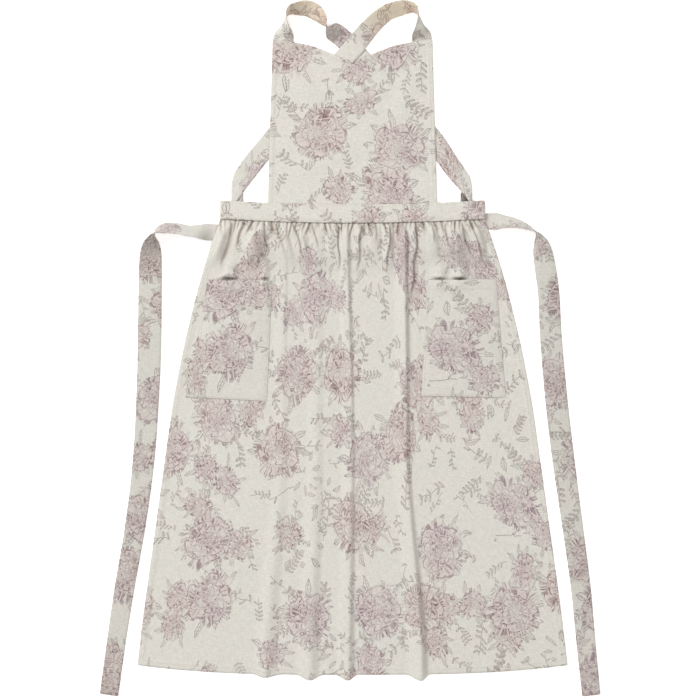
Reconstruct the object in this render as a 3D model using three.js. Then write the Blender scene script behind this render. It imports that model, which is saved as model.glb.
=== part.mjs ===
// A gathered pinafore apron with crossed shoulder straps, lying on a flat surface.
// Sizes are in mm: +X right, +Y towards the shoulder straps, +Z up from the surface.
import * as THREE from 'three';

// Overall sizes
const MIDLINE = 4;
const GAP = 0.3;
const PANEL_CLOTH = 1.6;
const BAND_CLOTH = 3;
const STRAP_CLOTH = 2;
const STRAP_WIDTH = 31;

// Waistband
const BAND_HALF = 211;
const BAND_HEIGHT = 28.5;
const BAND_MIDDLE_Y = 216.2;
const BAND_END_RISE = 6.6;
const BAND_SEAT_TOP = 5.6;
const BAND_SEAT_LOW = 6.9;
const BAND_END_DROP = 1.5;
const BAND_END_ROLL = 13;

// Bib
const BIB_HALF_TOP = 127.2;
const BIB_HALF_LOW = 135.2;
const BIB_TUCK = 9;
const BIB_BASE = 2.3;
const BIB_SEAT_LIFT = 1.35;
const CROSSING_LIFT = 2.4;
const CROSSING_Y = 455;

// Skirt
const SKIRT_TUCK = 6;
const HEM_MIDDLE_Y = -520.5;
const HEM_SIDE_RISE = 15.5;
const HEM_HALF = 344.4;
const SEAM_HEIGHT = 2.95;
const SEAM_END_HEIGHT = 2.4;
const GATHER_PITCH = 15;
const GATHER_HEIGHT = 2.4;
const GATHER_LENGTH = 46;

// Pockets
const POCKET_FULLNESS = 8;

// Shoulder strap ends, folded under at the waistband
const FOLD_RADIUS = 1.6;
const FOLD_RETURN = 16;

const CLOTH_COLOUR = 0xd6d5c8;
const BAND_COLOUR = 0xdad8cc;
const POCKET_COLOUR = 0xcfccc2;
const STRAP_COLOUR = 0xd9d5cb;
const TIE_COLOUR = 0xdddad0;

// Half of the top edge of the bib: distance from the midline and height of the edge
const NECKLINE = [
  { out: 0, y: 453.4 },
  { out: 12, y: 461.5 },
  { out: 26, y: 468.5 },
  { out: 46, y: 477 },
  { out: 67, y: 484.3 },
  { out: 95, y: 490 },
  { out: 127.2, y: 495 },
];

// Soft drag folds in the bib, from corner to corner of the pull
const BIB_FOLDS = [
  { x0: -112, y0: 478, x1: -40, y1: 380, half: 22, height: 1.8 },
  { x0: 118, y0: 470, x1: 60, y1: 330, half: 26, height: 1.4 },
  { x0: -120, y0: 270, x1: 30, y1: 330, half: 24, height: 1.2 },
];

// Half width of the skirt on its way down
const SKIRT_SIDE = [
  { y: 215, half: 214 },
  { y: 203, half: 216 },
  { y: 174, half: 222.5 },
  { y: 120, half: 240 },
  { y: 20, half: 265.5 },
  { y: -75, half: 284.5 },
  { y: -145, half: 295 },
  { y: -278, half: 313.5 },
  { y: -411, half: 332 },
  { y: -530, half: 346.5 },
];

// Long folds, each a ridge from the waist seam to the hem with a steeper right flank
const LONG_FOLDS = [
  { seam: -104, mid: -108, hem: -136, left: 16, right: 15, seamHigh: 5, midHigh: 4, hemHigh: 9, drop: 5 },
  { seam: -51, mid: -53, hem: -64, left: 19, right: 12, seamHigh: 8, midHigh: 7, hemHigh: 14, drop: 8 },
  { seam: -5, mid: 2, hem: -3, left: 18, right: 11, seamHigh: 14, midHigh: 10, hemHigh: 15, drop: 8 },
  { seam: 88, mid: 90, hem: 114, left: 24, right: 12, seamHigh: 15, midHigh: 14, hemHigh: 19, drop: 9 },
];
const LONG_FOLD_MID = 350;
const LONG_FOLD_END = 725;

// Short folds and puffs that fade out below the seam
const SHORT_FOLDS = [
  { seam: -196, end: -222, length: 84, left: 14, right: 15, high: 7 },
  { seam: -150, end: -158, length: 86, left: 23, right: 24, high: 13 },
  { seam: -107, end: -90, length: 78, left: 12, right: 8, high: 7 },
  { seam: -79, end: -66, length: 92, left: 10, right: 12, high: 6 },
  { seam: -31, end: -29, length: 70, left: 10, right: 9, high: 6 },
  { seam: 37, end: 36, length: 62, left: 14, right: 16, high: 6 },
  { seam: 64, end: 62, length: 96, left: 12, right: 9, high: 7 },
  { seam: 128, end: 138, length: 74, left: 13, right: 14, high: 8 },
  { seam: 166, end: 170, length: 86, left: 20, right: 20, high: 12 },
  { seam: 200, end: 216, length: 82, left: 12, right: 12, high: 8 },
];

// Rows down the skirt, as distances below the waist seam at the midline
const SKIRT_ROWS = [-6, 0, 9, 20, 34, 52, 74, 92, 180, 300, 440, 590, 722];

// Corners of the patch pockets
const POCKETS = {
  left: { mouthLeft: [-227.7, 111], mouthRight: [-124.8, 109.5], footLeft: [-256.5, -77], footRight: [-133, -83.5] },
  right: { mouthLeft: [125.1, 111], mouthRight: [233.6, 111], footLeft: [114.4, -75], footRight: [249.1, -78] },
};

// Shoulder straps: path of the middle, roll about the path, and lift off the surface
const STRAP_LEFT = [
  { x: -105.6, y: 474, roll: 0, lift: 0 },
  { x: -106, y: 497, roll: 0, lift: 0 },
  { x: -104, y: 515, roll: -63, lift: 0 },
  { x: -101.4, y: 532, roll: -90, lift: 0 },
  { x: -94.5, y: 540.4, roll: -111, lift: 0 },
  { x: -84, y: 542.8, roll: -124, lift: 0 },
  { x: -70, y: 543.6, roll: -136, lift: 0 },
  { x: -57.5, y: 539.4, roll: -140, lift: 0 },
  { x: -46.5, y: 528.8, roll: -125, lift: 0 },
  { x: -37.2, y: 515.5, roll: -92, lift: 0 },
  { x: -28.5, y: 508.5, roll: -36, lift: 0 },
  { x: -18.5, y: 502.5, roll: -1, lift: 0 },
  { x: -4, y: 489, roll: 0, lift: 0 },
  { x: 40, y: 439, roll: 0, lift: 0 },
  { x: 92, y: 381, roll: 0, lift: 0 },
  { x: 131, y: 338, roll: 0, lift: 0 },
  { x: 148, y: 314, roll: 0, lift: 0.1, slant: 0.35 },
  { x: 164, y: 290.5, roll: 0, lift: 1.4, slant: 0.8 },
  { x: 180, y: 267, roll: 0, lift: 2.8, slant: 1 },
];
const STRAP_RIGHT = [
  { x: 115.2, y: 474, roll: 0, lift: 0 },
  { x: 114.9, y: 497, roll: 0, lift: 0 },
  { x: 112, y: 515.2, roll: 61, lift: 0 },
  { x: 108.5, y: 534.4, roll: 90, lift: 0 },
  { x: 101.6, y: 543.4, roll: 111, lift: 0 },
  { x: 89.6, y: 545, roll: 126, lift: 0 },
  { x: 76.8, y: 543, roll: 136, lift: 0 },
  { x: 62.4, y: 538.4, roll: 138, lift: 0 },
  { x: 48, y: 528.8, roll: 146, lift: 0 },
  { x: 34.4, y: 516, roll: 154, lift: 0.6 },
  { x: 21.6, y: 501.6, roll: 164, lift: 1.8 },
  { x: 9.6, y: 486.4, roll: 177, lift: 2.4 },
  { x: -3.5, y: 472, roll: 180, lift: 2.4 },
  { x: -32, y: 440.5, roll: 180, lift: 1.2 },
  { x: -60, y: 409, roll: 180, lift: 0.2 },
  { x: -95, y: 369, roll: 180, lift: 0 },
  { x: -126, y: 333, roll: 180, lift: 0 },
  { x: -142, y: 313.5, roll: 180, lift: 0.1, slant: 0.35 },
  { x: -157, y: 294.5, roll: 180, lift: 1.4, slant: 0.8 },
  { x: -173, y: 273.5, roll: 180, lift: 2.8, slant: 1 },
];
const STRAP_LEFT_FOLD = { edge: 195.7, side: 1 };
const STRAP_RIGHT_FOLD = { edge: -190, side: -1 };

// Waist ties: path of the middle, roll about the path, and width
const TIE_LEFT = [
  { x: -186, y: 186.6, roll: 0, width: 31 },
  { x: -206, y: 186.6, roll: 0, width: 31 },
  { x: -223, y: 186.8, roll: 0, width: 32 },
  { x: -240, y: 187.4, roll: 46, width: 33 },
  { x: -258, y: 188.4, roll: 58, width: 34 },
  { x: -278, y: 192.4, roll: 59, width: 34 },
  { x: -296, y: 192.5, roll: 61, width: 34 },
  { x: -307, y: 189.2, roll: 73, width: 34 },
  { x: -313.4, y: 181.6, roll: 95, width: 34 },
  { x: -316.2, y: 169, roll: 132, width: 34.5 },
  { x: -318.4, y: 148, roll: 164, width: 35 },
  { x: -319.5, y: 108.8, roll: 180, width: 36.5 },
  { x: -320.8, y: 10, roll: 180, width: 37 },
  { x: -323, y: -62, roll: 180, width: 36 },
  { x: -330, y: -176, roll: 180, width: 34 },
  { x: -343, y: -280, roll: 180, width: 32 },
  { x: -361, y: -384, roll: 180, width: 31 },
  { x: -374, y: -470, roll: 180, width: 29.6 },
  { x: -385.5, y: -553, roll: 180, width: 29 },
];
const TIE_RIGHT = [
  { x: 200, y: 204, roll: 0, width: 31 },
  { x: 213, y: 204, roll: 0, width: 31 },
  { x: 226, y: 204, roll: 0, width: 32 },
  { x: 243, y: 203.4, roll: -46, width: 33 },
  { x: 259, y: 201.6, roll: -57, width: 33 },
  { x: 275, y: 197.6, roll: -67, width: 33 },
  { x: 289, y: 191.4, roll: -77, width: 33 },
  { x: 298.4, y: 184.6, roll: -91, width: 33 },
  { x: 303.4, y: 172.5, roll: -122, width: 33 },
  { x: 308, y: 152, roll: -154, width: 33.2 },
  { x: 312.5, y: 127, roll: -169, width: 33.4 },
  { x: 317.5, y: 91, roll: -180, width: 33.5 },
  { x: 321.5, y: 17.6, roll: -180, width: 34.2 },
  { x: 331, y: -90, roll: -180, width: 35 },
  { x: 341.5, y: -178, roll: -180, width: 34.6 },
  { x: 355.5, y: -280, roll: -180, width: 32.4 },
  { x: 369, y: -380, roll: -180, width: 31 },
  { x: 377.5, y: -470, roll: -180, width: 30 },
  { x: 386, y: -553.8, roll: -180, width: 28.6 },
];

// Rows at which the ties are parted into the run that turns at the side and the tail that lies flat
const TIE_LEFT_PART_ROW = 11;
const TIE_RIGHT_PART_ROW = 11;
const STEPS_PER_ROW = 3;

const clamp01 = (t) => Math.min(1, Math.max(0, t));
const mix = (a, b, t) => a + (b - a) * t;
const ease = (a, b, t) => {
  const k = clamp01((t - a) / (b - a));
  return k * k * (3 - 2 * k);
};

// Smooth reading of one column of a table between its rows
function read(table, key, column, at) {
  const rising = table[1][key] > table[0][key];
  let i = 0;
  while (i < table.length - 2 && (rising ? at > table[i + 1][key] : at < table[i + 1][key])) i += 1;
  const slope = (k) => {
    const a = table[Math.max(0, k - 1)];
    const b = table[Math.min(table.length - 1, k + 1)];
    return (b[column] - a[column]) / (b[key] - a[key]);
  };
  const span = table[i + 1][key] - table[i][key];
  const t = clamp01((at - table[i][key]) / span);
  const t2 = t * t;
  const t3 = t2 * t;
  return (2 * t3 - 3 * t2 + 1) * table[i][column] + (t3 - 2 * t2 + t) * span * slope(i)
    + (3 * t2 - 2 * t3) * table[i + 1][column] + (t3 - t2) * span * slope(i + 1);
}

// Height of a soft ridge at a distance from its crest, steeper where its flank is shorter
function ridge(offset, left, right) {
  const t = offset < 0 ? -offset / left : offset / right;
  if (t >= 1) return 0;
  const c = Math.cos(t * Math.PI / 2);
  return c * c;
}

// Waistband: its middle line, and its two edges
const bandMiddle = (x) => BAND_MIDDLE_Y + BAND_END_RISE * ((x - MIDLINE) / BAND_HALF) ** 2;
const bandLow = (x) => bandMiddle(x) - BAND_HEIGHT / 2;
const bandTop = (x) => bandMiddle(x) + BAND_HEIGHT / 2;

// Skirt: the height of its underside above the surface
function longFold(fold, x, below) {
  const upper = ease(0, LONG_FOLD_MID, below);
  const lower = ease(LONG_FOLD_MID, LONG_FOLD_END, below);
  const crest = below < LONG_FOLD_MID ? mix(fold.seam, fold.mid, upper) : mix(fold.mid, fold.hem, lower);
  const high = below < LONG_FOLD_MID ? mix(fold.seamHigh, fold.midHigh, upper) : mix(fold.midHigh, fold.hemHigh, lower);
  const spread = mix(0.85, 1.2, clamp01(below / LONG_FOLD_END));
  return high * ease(-4, 26, below) * ridge(x - crest, fold.left * spread, fold.right * spread);
}

function shortFold(fold, x, below) {
  const t = below / fold.length;
  const crest = mix(fold.seam, fold.end, t);
  const rise = ease(0, 0.3, t) * (1 - ease(0.45, 1, t));
  return fold.high * rise * ridge(x - crest, fold.left, fold.right);
}

function gathers(x, below) {
  const phase = x / GATHER_PITCH + 0.3 * Math.sin(x / 23) + 0.2 * Math.sin(x / 9.5 + 1);
  const strength = mix(0.5, 1, ease(-4, 10, below)) * (1 - ease(14, GATHER_LENGTH, below));
  return GATHER_HEIGHT * strength * (0.5 + 0.5 * Math.sin(2 * Math.PI * phase));
}

function skirtUnder(x, y) {
  const below = bandLow(x) - y;
  const out = Math.abs(x - MIDLINE);
  const inside = 1 - ease(182, 206, out);
  const seam = mix(SEAM_END_HEIGHT, SEAM_HEIGHT, inside) * (1 - ease(42, 84, below));
  const puff = 4 * inside * ease(0, 30, below) * (1 - ease(34, 88, below));
  let height = Math.max(seam + puff, 0) + gathers(x, below) * inside;
  for (const fold of SHORT_FOLDS) height += shortFold(fold, x, below);
  for (const fold of LONG_FOLDS) height += longFold(fold, x, below);
  return height;
}

const skirtOver = (x, y) => skirtUnder(x, y) + PANEL_CLOTH;

function hemEdge(x) {
  let y = HEM_MIDDLE_Y + HEM_SIDE_RISE * (Math.abs(x - MIDLINE) / HEM_HALF) ** 3;
  for (const fold of LONG_FOLDS) y -= fold.drop * ridge(x - fold.hem, fold.left * 1.2, fold.right * 1.35);
  return y;
}

// Bib: the height of its underside above the straps and the surface
function bibUnder(x, y) {
  const crossing = Math.exp(-(((x - MIDLINE) / 75) ** 2) - ((y - CROSSING_Y) / 70) ** 2);
  let height = BIB_BASE + CROSSING_LIFT * crossing + BIB_SEAT_LIFT * (1 - ease(236, 300, y));
  for (const f of BIB_FOLDS) {
    const length = Math.hypot(f.x1 - f.x0, f.y1 - f.y0);
    const along = ((x - f.x0) * (f.x1 - f.x0) + (y - f.y0) * (f.y1 - f.y0)) / length;
    const aside = ((x - f.x0) * (f.y1 - f.y0) - (y - f.y0) * (f.x1 - f.x0)) / length;
    height += f.height * ridge(along - length / 2, length / 2, length / 2) * ridge(aside, f.half, f.half);
  }
  return height;
}

// A closed thin solid over a grid: column i runs to the right, row j runs down
function sheetSolid(columns, rows, place) {
  const points = [];
  for (const layer of ['over', 'under']) {
    for (let j = 0; j <= rows; j += 1) {
      for (let i = 0; i <= columns; i += 1) {
        const p = place(i / columns, j / rows, j);
        points.push(p.x, p.y, p[layer]);
      }
    }
  }
  const layerSize = (columns + 1) * (rows + 1);
  const at = (i, j) => j * (columns + 1) + i;
  const faces = [];
  for (let j = 0; j < rows; j += 1) {
    for (let i = 0; i < columns; i += 1) {
      const [a, b, c, d] = [at(i, j), at(i + 1, j), at(i + 1, j + 1), at(i, j + 1)];
      faces.push(a, d, c, a, c, b);
      faces.push(a + layerSize, c + layerSize, d + layerSize, a + layerSize, b + layerSize, c + layerSize);
    }
  }
  const rim = [];
  for (let j = 0; j < rows; j += 1) rim.push(at(0, j));
  for (let i = 0; i < columns; i += 1) rim.push(at(i, rows));
  for (let j = rows; j > 0; j -= 1) rim.push(at(columns, j));
  for (let i = columns; i > 0; i -= 1) rim.push(at(i, 0));
  rim.forEach((p, k) => {
    const q = rim[(k + 1) % rim.length];
    faces.push(p, p + layerSize, q + layerSize, p, q + layerSize, q);
  });
  return geometryOf(points, faces);
}

// A closed ribbon through cross-sections of four corners each; both faces are split along the same diagonal
function ribbonSolid(sections) {
  const points = sections.flat().flatMap((p) => [p.x, p.y, p.z]);
  const faces = [0, 2, 1, 0, 3, 2];
  for (let k = 0; k < sections.length - 1; k += 1) {
    for (let c = 0; c < 4; c += 1) {
      const a = 4 * k + c;
      const b = 4 * k + (c + 1) % 4;
      if (c === 2) faces.push(a, b, a + 4, b, b + 4, a + 4);
      else faces.push(a, b + 4, a + 4, a, b, b + 4);
    }
  }
  const last = 4 * (sections.length - 1);
  faces.push(last, last + 1, last + 2, last, last + 2, last + 3);
  return geometryOf(points, faces);
}

function geometryOf(points, faces) {
  const geometry = new THREE.BufferGeometry();
  geometry.setAttribute('position', new THREE.Float32BufferAttribute(points, 3));
  geometry.setIndex(faces);
  return geometry.toNonIndexed();
}

// The four corners of a ribbon's cross-section, from its middle, half-width vector and face normal
function corners(middle, half, normal) {
  const up = normal.clone().multiplyScalar(STRAP_CLOTH / 2);
  const left = middle.clone().add(half);
  const right = middle.clone().sub(half);
  return [left.clone().add(up), right.clone().add(up), right.sub(up), left.sub(up)];
}

// Cross-sections of a strap or tie that rests on the surface along its table of rows
function ribbonSections(rows, stepsPerRow) {
  const path = new THREE.CatmullRomCurve3(rows.map((r) => new THREE.Vector3(r.x, r.y, 0)), false, 'centripetal');
  const count = (rows.length - 1) * stepsPerRow;
  const sections = [];
  for (let k = 0; k <= count; k += 1) {
    const t = k / count;
    const at = t * (rows.length - 1);
    const i = Math.min(rows.length - 2, Math.floor(at));
    const blend = (column, fallback) => mix(rows[i][column] ?? fallback, rows[i + 1][column] ?? fallback, at - i);
    const roll = THREE.MathUtils.degToRad(blend('roll', 0));
    const width = blend('width', STRAP_WIDTH);
    const heading = path.getTangent(t).setZ(0).normalize();
    const aside = new THREE.Vector3(-heading.y, heading.x, 0);
    const across = aside.multiplyScalar(Math.cos(roll)).add(new THREE.Vector3(0, 0, Math.sin(roll)));
    const normal = new THREE.Vector3().crossVectors(heading, across).normalize();
    const slant = blend('slant', 0);
    const half = across.clone();
    if (slant > 0) half.addScaledVector(heading, -slant * across.x / heading.x);
    half.multiplyScalar(width / 2);
    const middle = path.getPoint(t);
    middle.z = blend('lift', 0) + width / 2 * Math.abs(Math.sin(roll)) + STRAP_CLOTH / 2 * Math.abs(Math.cos(roll));
    sections.push(corners(middle, half, normal));
  }
  return sections;
}

// A ribbon in two, parted at one cross-section with a small gap
function partedRibbon(sections, at) {
  const length = sections[at][0].distanceTo(sections[at + 1][0]);
  const start = sections[at].map((p, c) => p.clone().lerp(sections[at + 1][c], GAP / length));
  return [sections.slice(0, at + 1), [start, ...sections.slice(at + 1)]];
}

// The end of a shoulder strap: folded under at the side, and back below the waistband
function foldedEnd(rows, fold) {
  const last = rows[rows.length - 1];
  const before = rows[rows.length - 2];
  const heading = new THREE.Vector3(last.x - before.x, last.y - before.y, 0).normalize();
  const fall = heading.y / Math.abs(heading.x);
  const facing = Math.cos(THREE.MathUtils.degToRad(last.roll));
  const half = new THREE.Vector3(0, fold.side * facing * STRAP_WIDTH / 2 / Math.abs(heading.x), 0);
  const axisX = fold.edge - fold.side * (FOLD_RADIUS + STRAP_CLOTH / 2);
  const startY = last.y + fall * Math.abs(axisX - last.x);
  const sections = [];
  const steps = 6;
  for (let k = 0; k <= steps; k += 1) {
    const turn = Math.PI * k / steps;
    const middle = new THREE.Vector3(
      axisX + fold.side * FOLD_RADIUS * Math.sin(turn),
      startY + fall * FOLD_RADIUS * turn,
      STRAP_CLOTH / 2 + FOLD_RADIUS * (1 + Math.cos(turn)),
    );
    const outward = new THREE.Vector3(fold.side * Math.sin(turn), 0, Math.cos(turn));
    sections.push(corners(middle, half, outward.multiplyScalar(facing)));
  }
  const back = new THREE.Vector3(
    axisX - fold.side * FOLD_RETURN,
    startY + fall * (FOLD_RADIUS * Math.PI + FOLD_RETURN),
    STRAP_CLOTH / 2,
  );
  sections.push(corners(back, half, new THREE.Vector3(0, 0, -facing)));
  return sections;
}

function bibSolid() {
  return sheetSolid(26, 14, (u, v) => {
    const side = 2 * u - 1;
    const topY = read(NECKLINE, 'out', 'y', Math.abs(side) * BIB_HALF_TOP);
    const lowY = bandTop(MIDLINE + side * BIB_HALF_LOW) - BIB_TUCK;
    const y = mix(topY, lowY, v);
    const x = MIDLINE + side * mix(BIB_HALF_LOW, BIB_HALF_TOP, clamp01((y - lowY) / (495 - lowY)));
    const under = bibUnder(x, y);
    return { x, y, under, over: under + PANEL_CLOTH };
  });
}

function waistbandSolid() {
  return sheetSolid(50, 4, (u, v) => {
    const x = MIDLINE + (2 * u - 1) * BAND_HALF;
    const end = ease(BAND_HALF - BAND_END_ROLL, BAND_HALF, Math.abs(x - MIDLINE));
    const under = mix(BAND_SEAT_TOP, BAND_SEAT_LOW, v) - BAND_END_DROP * end;
    const crown = 0.7 * Math.sin(Math.PI * v);
    return { x, y: mix(bandTop(x), bandLow(x), v), under, over: under + BAND_CLOTH - 0.4 + crown };
  });
}

function skirtSolid() {
  const first = SKIRT_ROWS[0];
  const whole = SKIRT_ROWS[SKIRT_ROWS.length - 1] - first;
  return sheetSolid(108, SKIRT_ROWS.length - 1, (u, v, j) => {
    const side = 2 * u - 1;
    const seamX = MIDLINE + side * 214;
    const hemX = MIDLINE + side * HEM_HALF;
    const y = mix(bandLow(seamX) + SKIRT_TUCK, hemEdge(hemX), (SKIRT_ROWS[j] - first) / whole);
    const x = MIDLINE + side * read(SKIRT_SIDE, 'y', 'half', y);
    return { x, y, under: skirtUnder(x, y), over: skirtOver(x, y) };
  });
}

function pocketSolid(p) {
  const between = (a, b, t) => [mix(a[0], b[0], t), mix(a[1], b[1], t)];
  return sheetSolid(14, 14, (u, v) => {
    const [x, y] = between(between(p.mouthLeft, p.mouthRight, u), between(p.footLeft, p.footRight, u), v);
    const fullness = POCKET_FULLNESS * Math.sin(Math.PI * u) ** 0.6 * (1 - ease(0.55, 1, v));
    const under = skirtOver(x, y) + GAP + fullness;
    return { x, y, under, over: under + PANEL_CLOTH };
  });
}

function piece(name, geometry, colour) {
  const mesh = new THREE.Mesh(geometry, new THREE.MeshStandardMaterial({ color: colour, roughness: 0.9 }));
  mesh.name = name;
  return mesh;
}

const [tieLeftRun, tieLeftTail] = partedRibbon(
  ribbonSections(TIE_LEFT, STEPS_PER_ROW), TIE_LEFT_PART_ROW * STEPS_PER_ROW);
const [tieRightRun, tieRightTail] = partedRibbon(
  ribbonSections(TIE_RIGHT, STEPS_PER_ROW), TIE_RIGHT_PART_ROW * STEPS_PER_ROW);

const apron = new THREE.Group();
apron.add(
  piece('bib', bibSolid(), CLOTH_COLOUR),
  piece('waistband', waistbandSolid(), BAND_COLOUR),
  piece('skirt', skirtSolid(), CLOTH_COLOUR),
  piece('pocket_left', pocketSolid(POCKETS.left), POCKET_COLOUR),
  piece('pocket_right', pocketSolid(POCKETS.right), POCKET_COLOUR),
  piece('shoulder_strap_left', ribbonSolid([
    ...ribbonSections(STRAP_LEFT, STEPS_PER_ROW), ...foldedEnd(STRAP_LEFT, STRAP_LEFT_FOLD)]), STRAP_COLOUR),
  piece('shoulder_strap_right', ribbonSolid([
    ...ribbonSections(STRAP_RIGHT, STEPS_PER_ROW), ...foldedEnd(STRAP_RIGHT, STRAP_RIGHT_FOLD)]), STRAP_COLOUR),
  piece('tie_left', ribbonSolid(tieLeftRun), TIE_COLOUR),
  piece('tie_left_tail', ribbonSolid(tieLeftTail), TIE_COLOUR),
  piece('tie_right', ribbonSolid(tieRightRun), TIE_COLOUR),
  piece('tie_right_tail', ribbonSolid(tieRightTail), TIE_COLOUR),
);

export default apron;
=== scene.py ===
"""A gathered pinafore apron with crossed shoulder straps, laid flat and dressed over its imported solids.

Sizes are in millimetres until a mesh is made, and in metres from there on.
+X is right, +Y is towards the shoulder straps and +Z is up from the surface it lies on.
"""

import logging
import math
from dataclasses import dataclass
from enum import Enum
from typing import Mapping, NamedTuple, Optional, Sequence, Union

import bpy
import numpy as np
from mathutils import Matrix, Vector

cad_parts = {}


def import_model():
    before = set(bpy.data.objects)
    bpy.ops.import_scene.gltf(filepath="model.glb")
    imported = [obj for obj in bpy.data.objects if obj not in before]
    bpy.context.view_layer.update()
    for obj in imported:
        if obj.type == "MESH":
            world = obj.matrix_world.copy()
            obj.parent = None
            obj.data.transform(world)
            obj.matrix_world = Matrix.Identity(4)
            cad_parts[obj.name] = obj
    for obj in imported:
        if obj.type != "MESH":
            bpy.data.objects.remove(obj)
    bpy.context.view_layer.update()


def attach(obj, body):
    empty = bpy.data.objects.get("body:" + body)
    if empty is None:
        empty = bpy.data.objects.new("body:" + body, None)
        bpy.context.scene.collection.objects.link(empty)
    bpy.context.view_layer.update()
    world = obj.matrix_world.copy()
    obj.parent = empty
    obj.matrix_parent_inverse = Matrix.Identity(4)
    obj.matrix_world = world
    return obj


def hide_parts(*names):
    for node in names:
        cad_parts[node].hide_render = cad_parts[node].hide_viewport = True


log = logging.getLogger("apron")

Array = np.ndarray
Pair = tuple[float, float]
Triple = tuple[float, float, float]
Colour = tuple[float, float, float, float]
Socket = bpy.types.NodeSocket
Value = Union[float, Sequence[float], Socket]
Settings = Mapping[str, object]
Inputs = Mapping[Union[str, int], Value]
Share = Union[float, Array]

MM = 0.001
MIDLINE = 4.0
GAP = 0.3
STITCH_LIFT = 0.12
EDGE_ROUND = 0.3
SHARP_DEGREES = 62.0
FULL_TURN = 2 * math.pi
CLOTH_MAP = "cloth"
# Colour attribute that multiplies each cloth: painted shade in the gathers, at the foot of the creases, in
# the pockets' mouths and inside the straps' folded ends, painted warm shade inside the shoulder loops, and an
# even darker tone on pockets and ties
SHADE_AND_TONE_MAP = "tint"


class Slot(Enum):
    """The cloth's material slots."""

    BODY = "body_cloth"
    BAND = "band_cloth"
    STRAP = "strap_cloth"


class Held(Enum):
    """How a sheet of cloth lies."""

    LAID = "laid"
    GATHERED = "gathered"
    FOLDED = "folded"


# Small shape helpers


def mix(a: Array, b: Array, t: Array) -> Array:
    """Goes straight from a to b as t goes from 0 to 1."""
    return a + (b - a) * t


def ease(low: float, high: float, at: Array) -> Array:
    """Rises smoothly from 0 at low to 1 at high."""
    k = np.clip((at - low) / (high - low), 0.0, 1.0)
    return k * k * (3.0 - 2.0 * k)


def ridge(offset: Array, left: Array, right: Array) -> Array:
    """Gives a soft ridge: 1 on its crest, falling to 0 at the foot of its left and right flank."""
    t = np.where(offset < 0, -offset / left, offset / right)
    return np.cos(np.clip(t, 0.0, 1.0) * math.pi / 2) ** 2


def through(table: Sequence[Sequence[float]], at: Array) -> Array:
    """Reads a smooth curve through the rows of a table.

    Args:
        table: Rows of (place, value), with the places rising.
        at: Places to read.

    Returns:
        The values there.
    """
    place, value = np.array(table, float).T
    slope = np.gradient(value)
    slope[1:-1] = (value[2:] - value[:-2]) / (place[2:] - place[:-2])
    slope[0] = (value[1] - value[0]) / (place[1] - place[0])
    slope[-1] = (value[-1] - value[-2]) / (place[-1] - place[-2])
    i = np.clip(np.searchsorted(place, at, side="right") - 1, 0, len(place) - 2)
    span = place[i + 1] - place[i]
    t = np.clip((at - place[i]) / span, 0.0, 1.0)
    start = (2 * t**3 - 3 * t**2 + 1) * value[i] + (t**3 - 2 * t**2 + t) * span * slope[i]
    return start + (3 * t**2 - 2 * t**3) * value[i + 1] + (t**3 - t**2) * span * slope[i + 1]


def ripple(x: Array, y: Array, length: float) -> Array:
    """Gives a calm uneven surface between 0 and 1 with waves of about that length.

    Args:
        x: Places across.
        y: Places up.
        length: Length of a wave.

    Returns:
        The heights.
    """
    k = FULL_TURN / length
    waves = np.sin(k * (x + 0.31 * y) + 1.3) + np.sin(k * (0.57 * y - 0.83 * x) + 4.1)
    waves = waves + np.sin(k * (0.63 * x + 0.92 * y) + 2.2) + np.sin(k * (1.21 * y + 0.17 * x) + 5.4)
    return 0.5 + waves / 8


def slanting_folds(table: Sequence[Sequence[float]], x: Array, y: Array) -> Array:
    """Adds up soft folds that lie across a panel.

    Args:
        table: Rows of (x and y of one end, x and y of the other, half width, height).
        x: Places across.
        y: Places up.

    Returns:
        The height of the folds there.
    """
    height = np.zeros_like(x)
    for x0, y0, x1, y1, half, high in table:
        length = math.hypot(x1 - x0, y1 - y0)
        along = ((x - x0) * (x1 - x0) + (y - y0) * (y1 - y0)) / length
        aside = ((x - x0) * (y1 - y0) - (y - y0) * (x1 - x0)) / length
        height = height + high * ridge(along - length / 2, length / 2, length / 2) * ridge(aside, half, half)
    return height


def steps_between(stops: Sequence[tuple[float, float, int]]) -> Array:
    """Lists places one after another, run by run of (start, end, number of steps)."""
    runs = [np.linspace(start, end, count, endpoint=False) for start, end, count in stops]
    return np.concatenate([*runs, [stops[-1][1]]])


# Meshes


class Sheet(NamedTuple):
    """A grid of cloth: its two faces, each point's place on the flat cloth, and both faces' tints, which hold
    painted shade and even tones.
    """

    over: Array
    under: Array
    flat: Array
    tint_over: Array
    tint_under: Array


def placed(name: str, data: bpy.types.ID) -> bpy.types.Object:
    """Makes an object at the origin and puts it in the scene.

    Args:
        name: Its name.
        data: Its mesh, light or camera.

    Returns:
        The object.
    """
    made = bpy.data.objects.new(name, data)
    bpy.context.scene.collection.objects.link(made)
    return made


def faces_at(x: Array, y: Array, over: Array, under: Array) -> tuple[Array, Array]:
    """Puts the heights of a sheet's two faces over their places."""
    return np.stack([x, y, over], -1), np.stack([x, y, under], -1)


def rim_of(rows: int, columns: int) -> Array:
    """Lists the grid points round the edge of a sheet, in order, seen from above turning left."""
    grid = np.arange(rows * columns).reshape(rows, columns)
    return np.concatenate([grid[:-1, 0], grid[-1, :-1], grid[:0:-1, -1], grid[0, :0:-1]])


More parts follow.
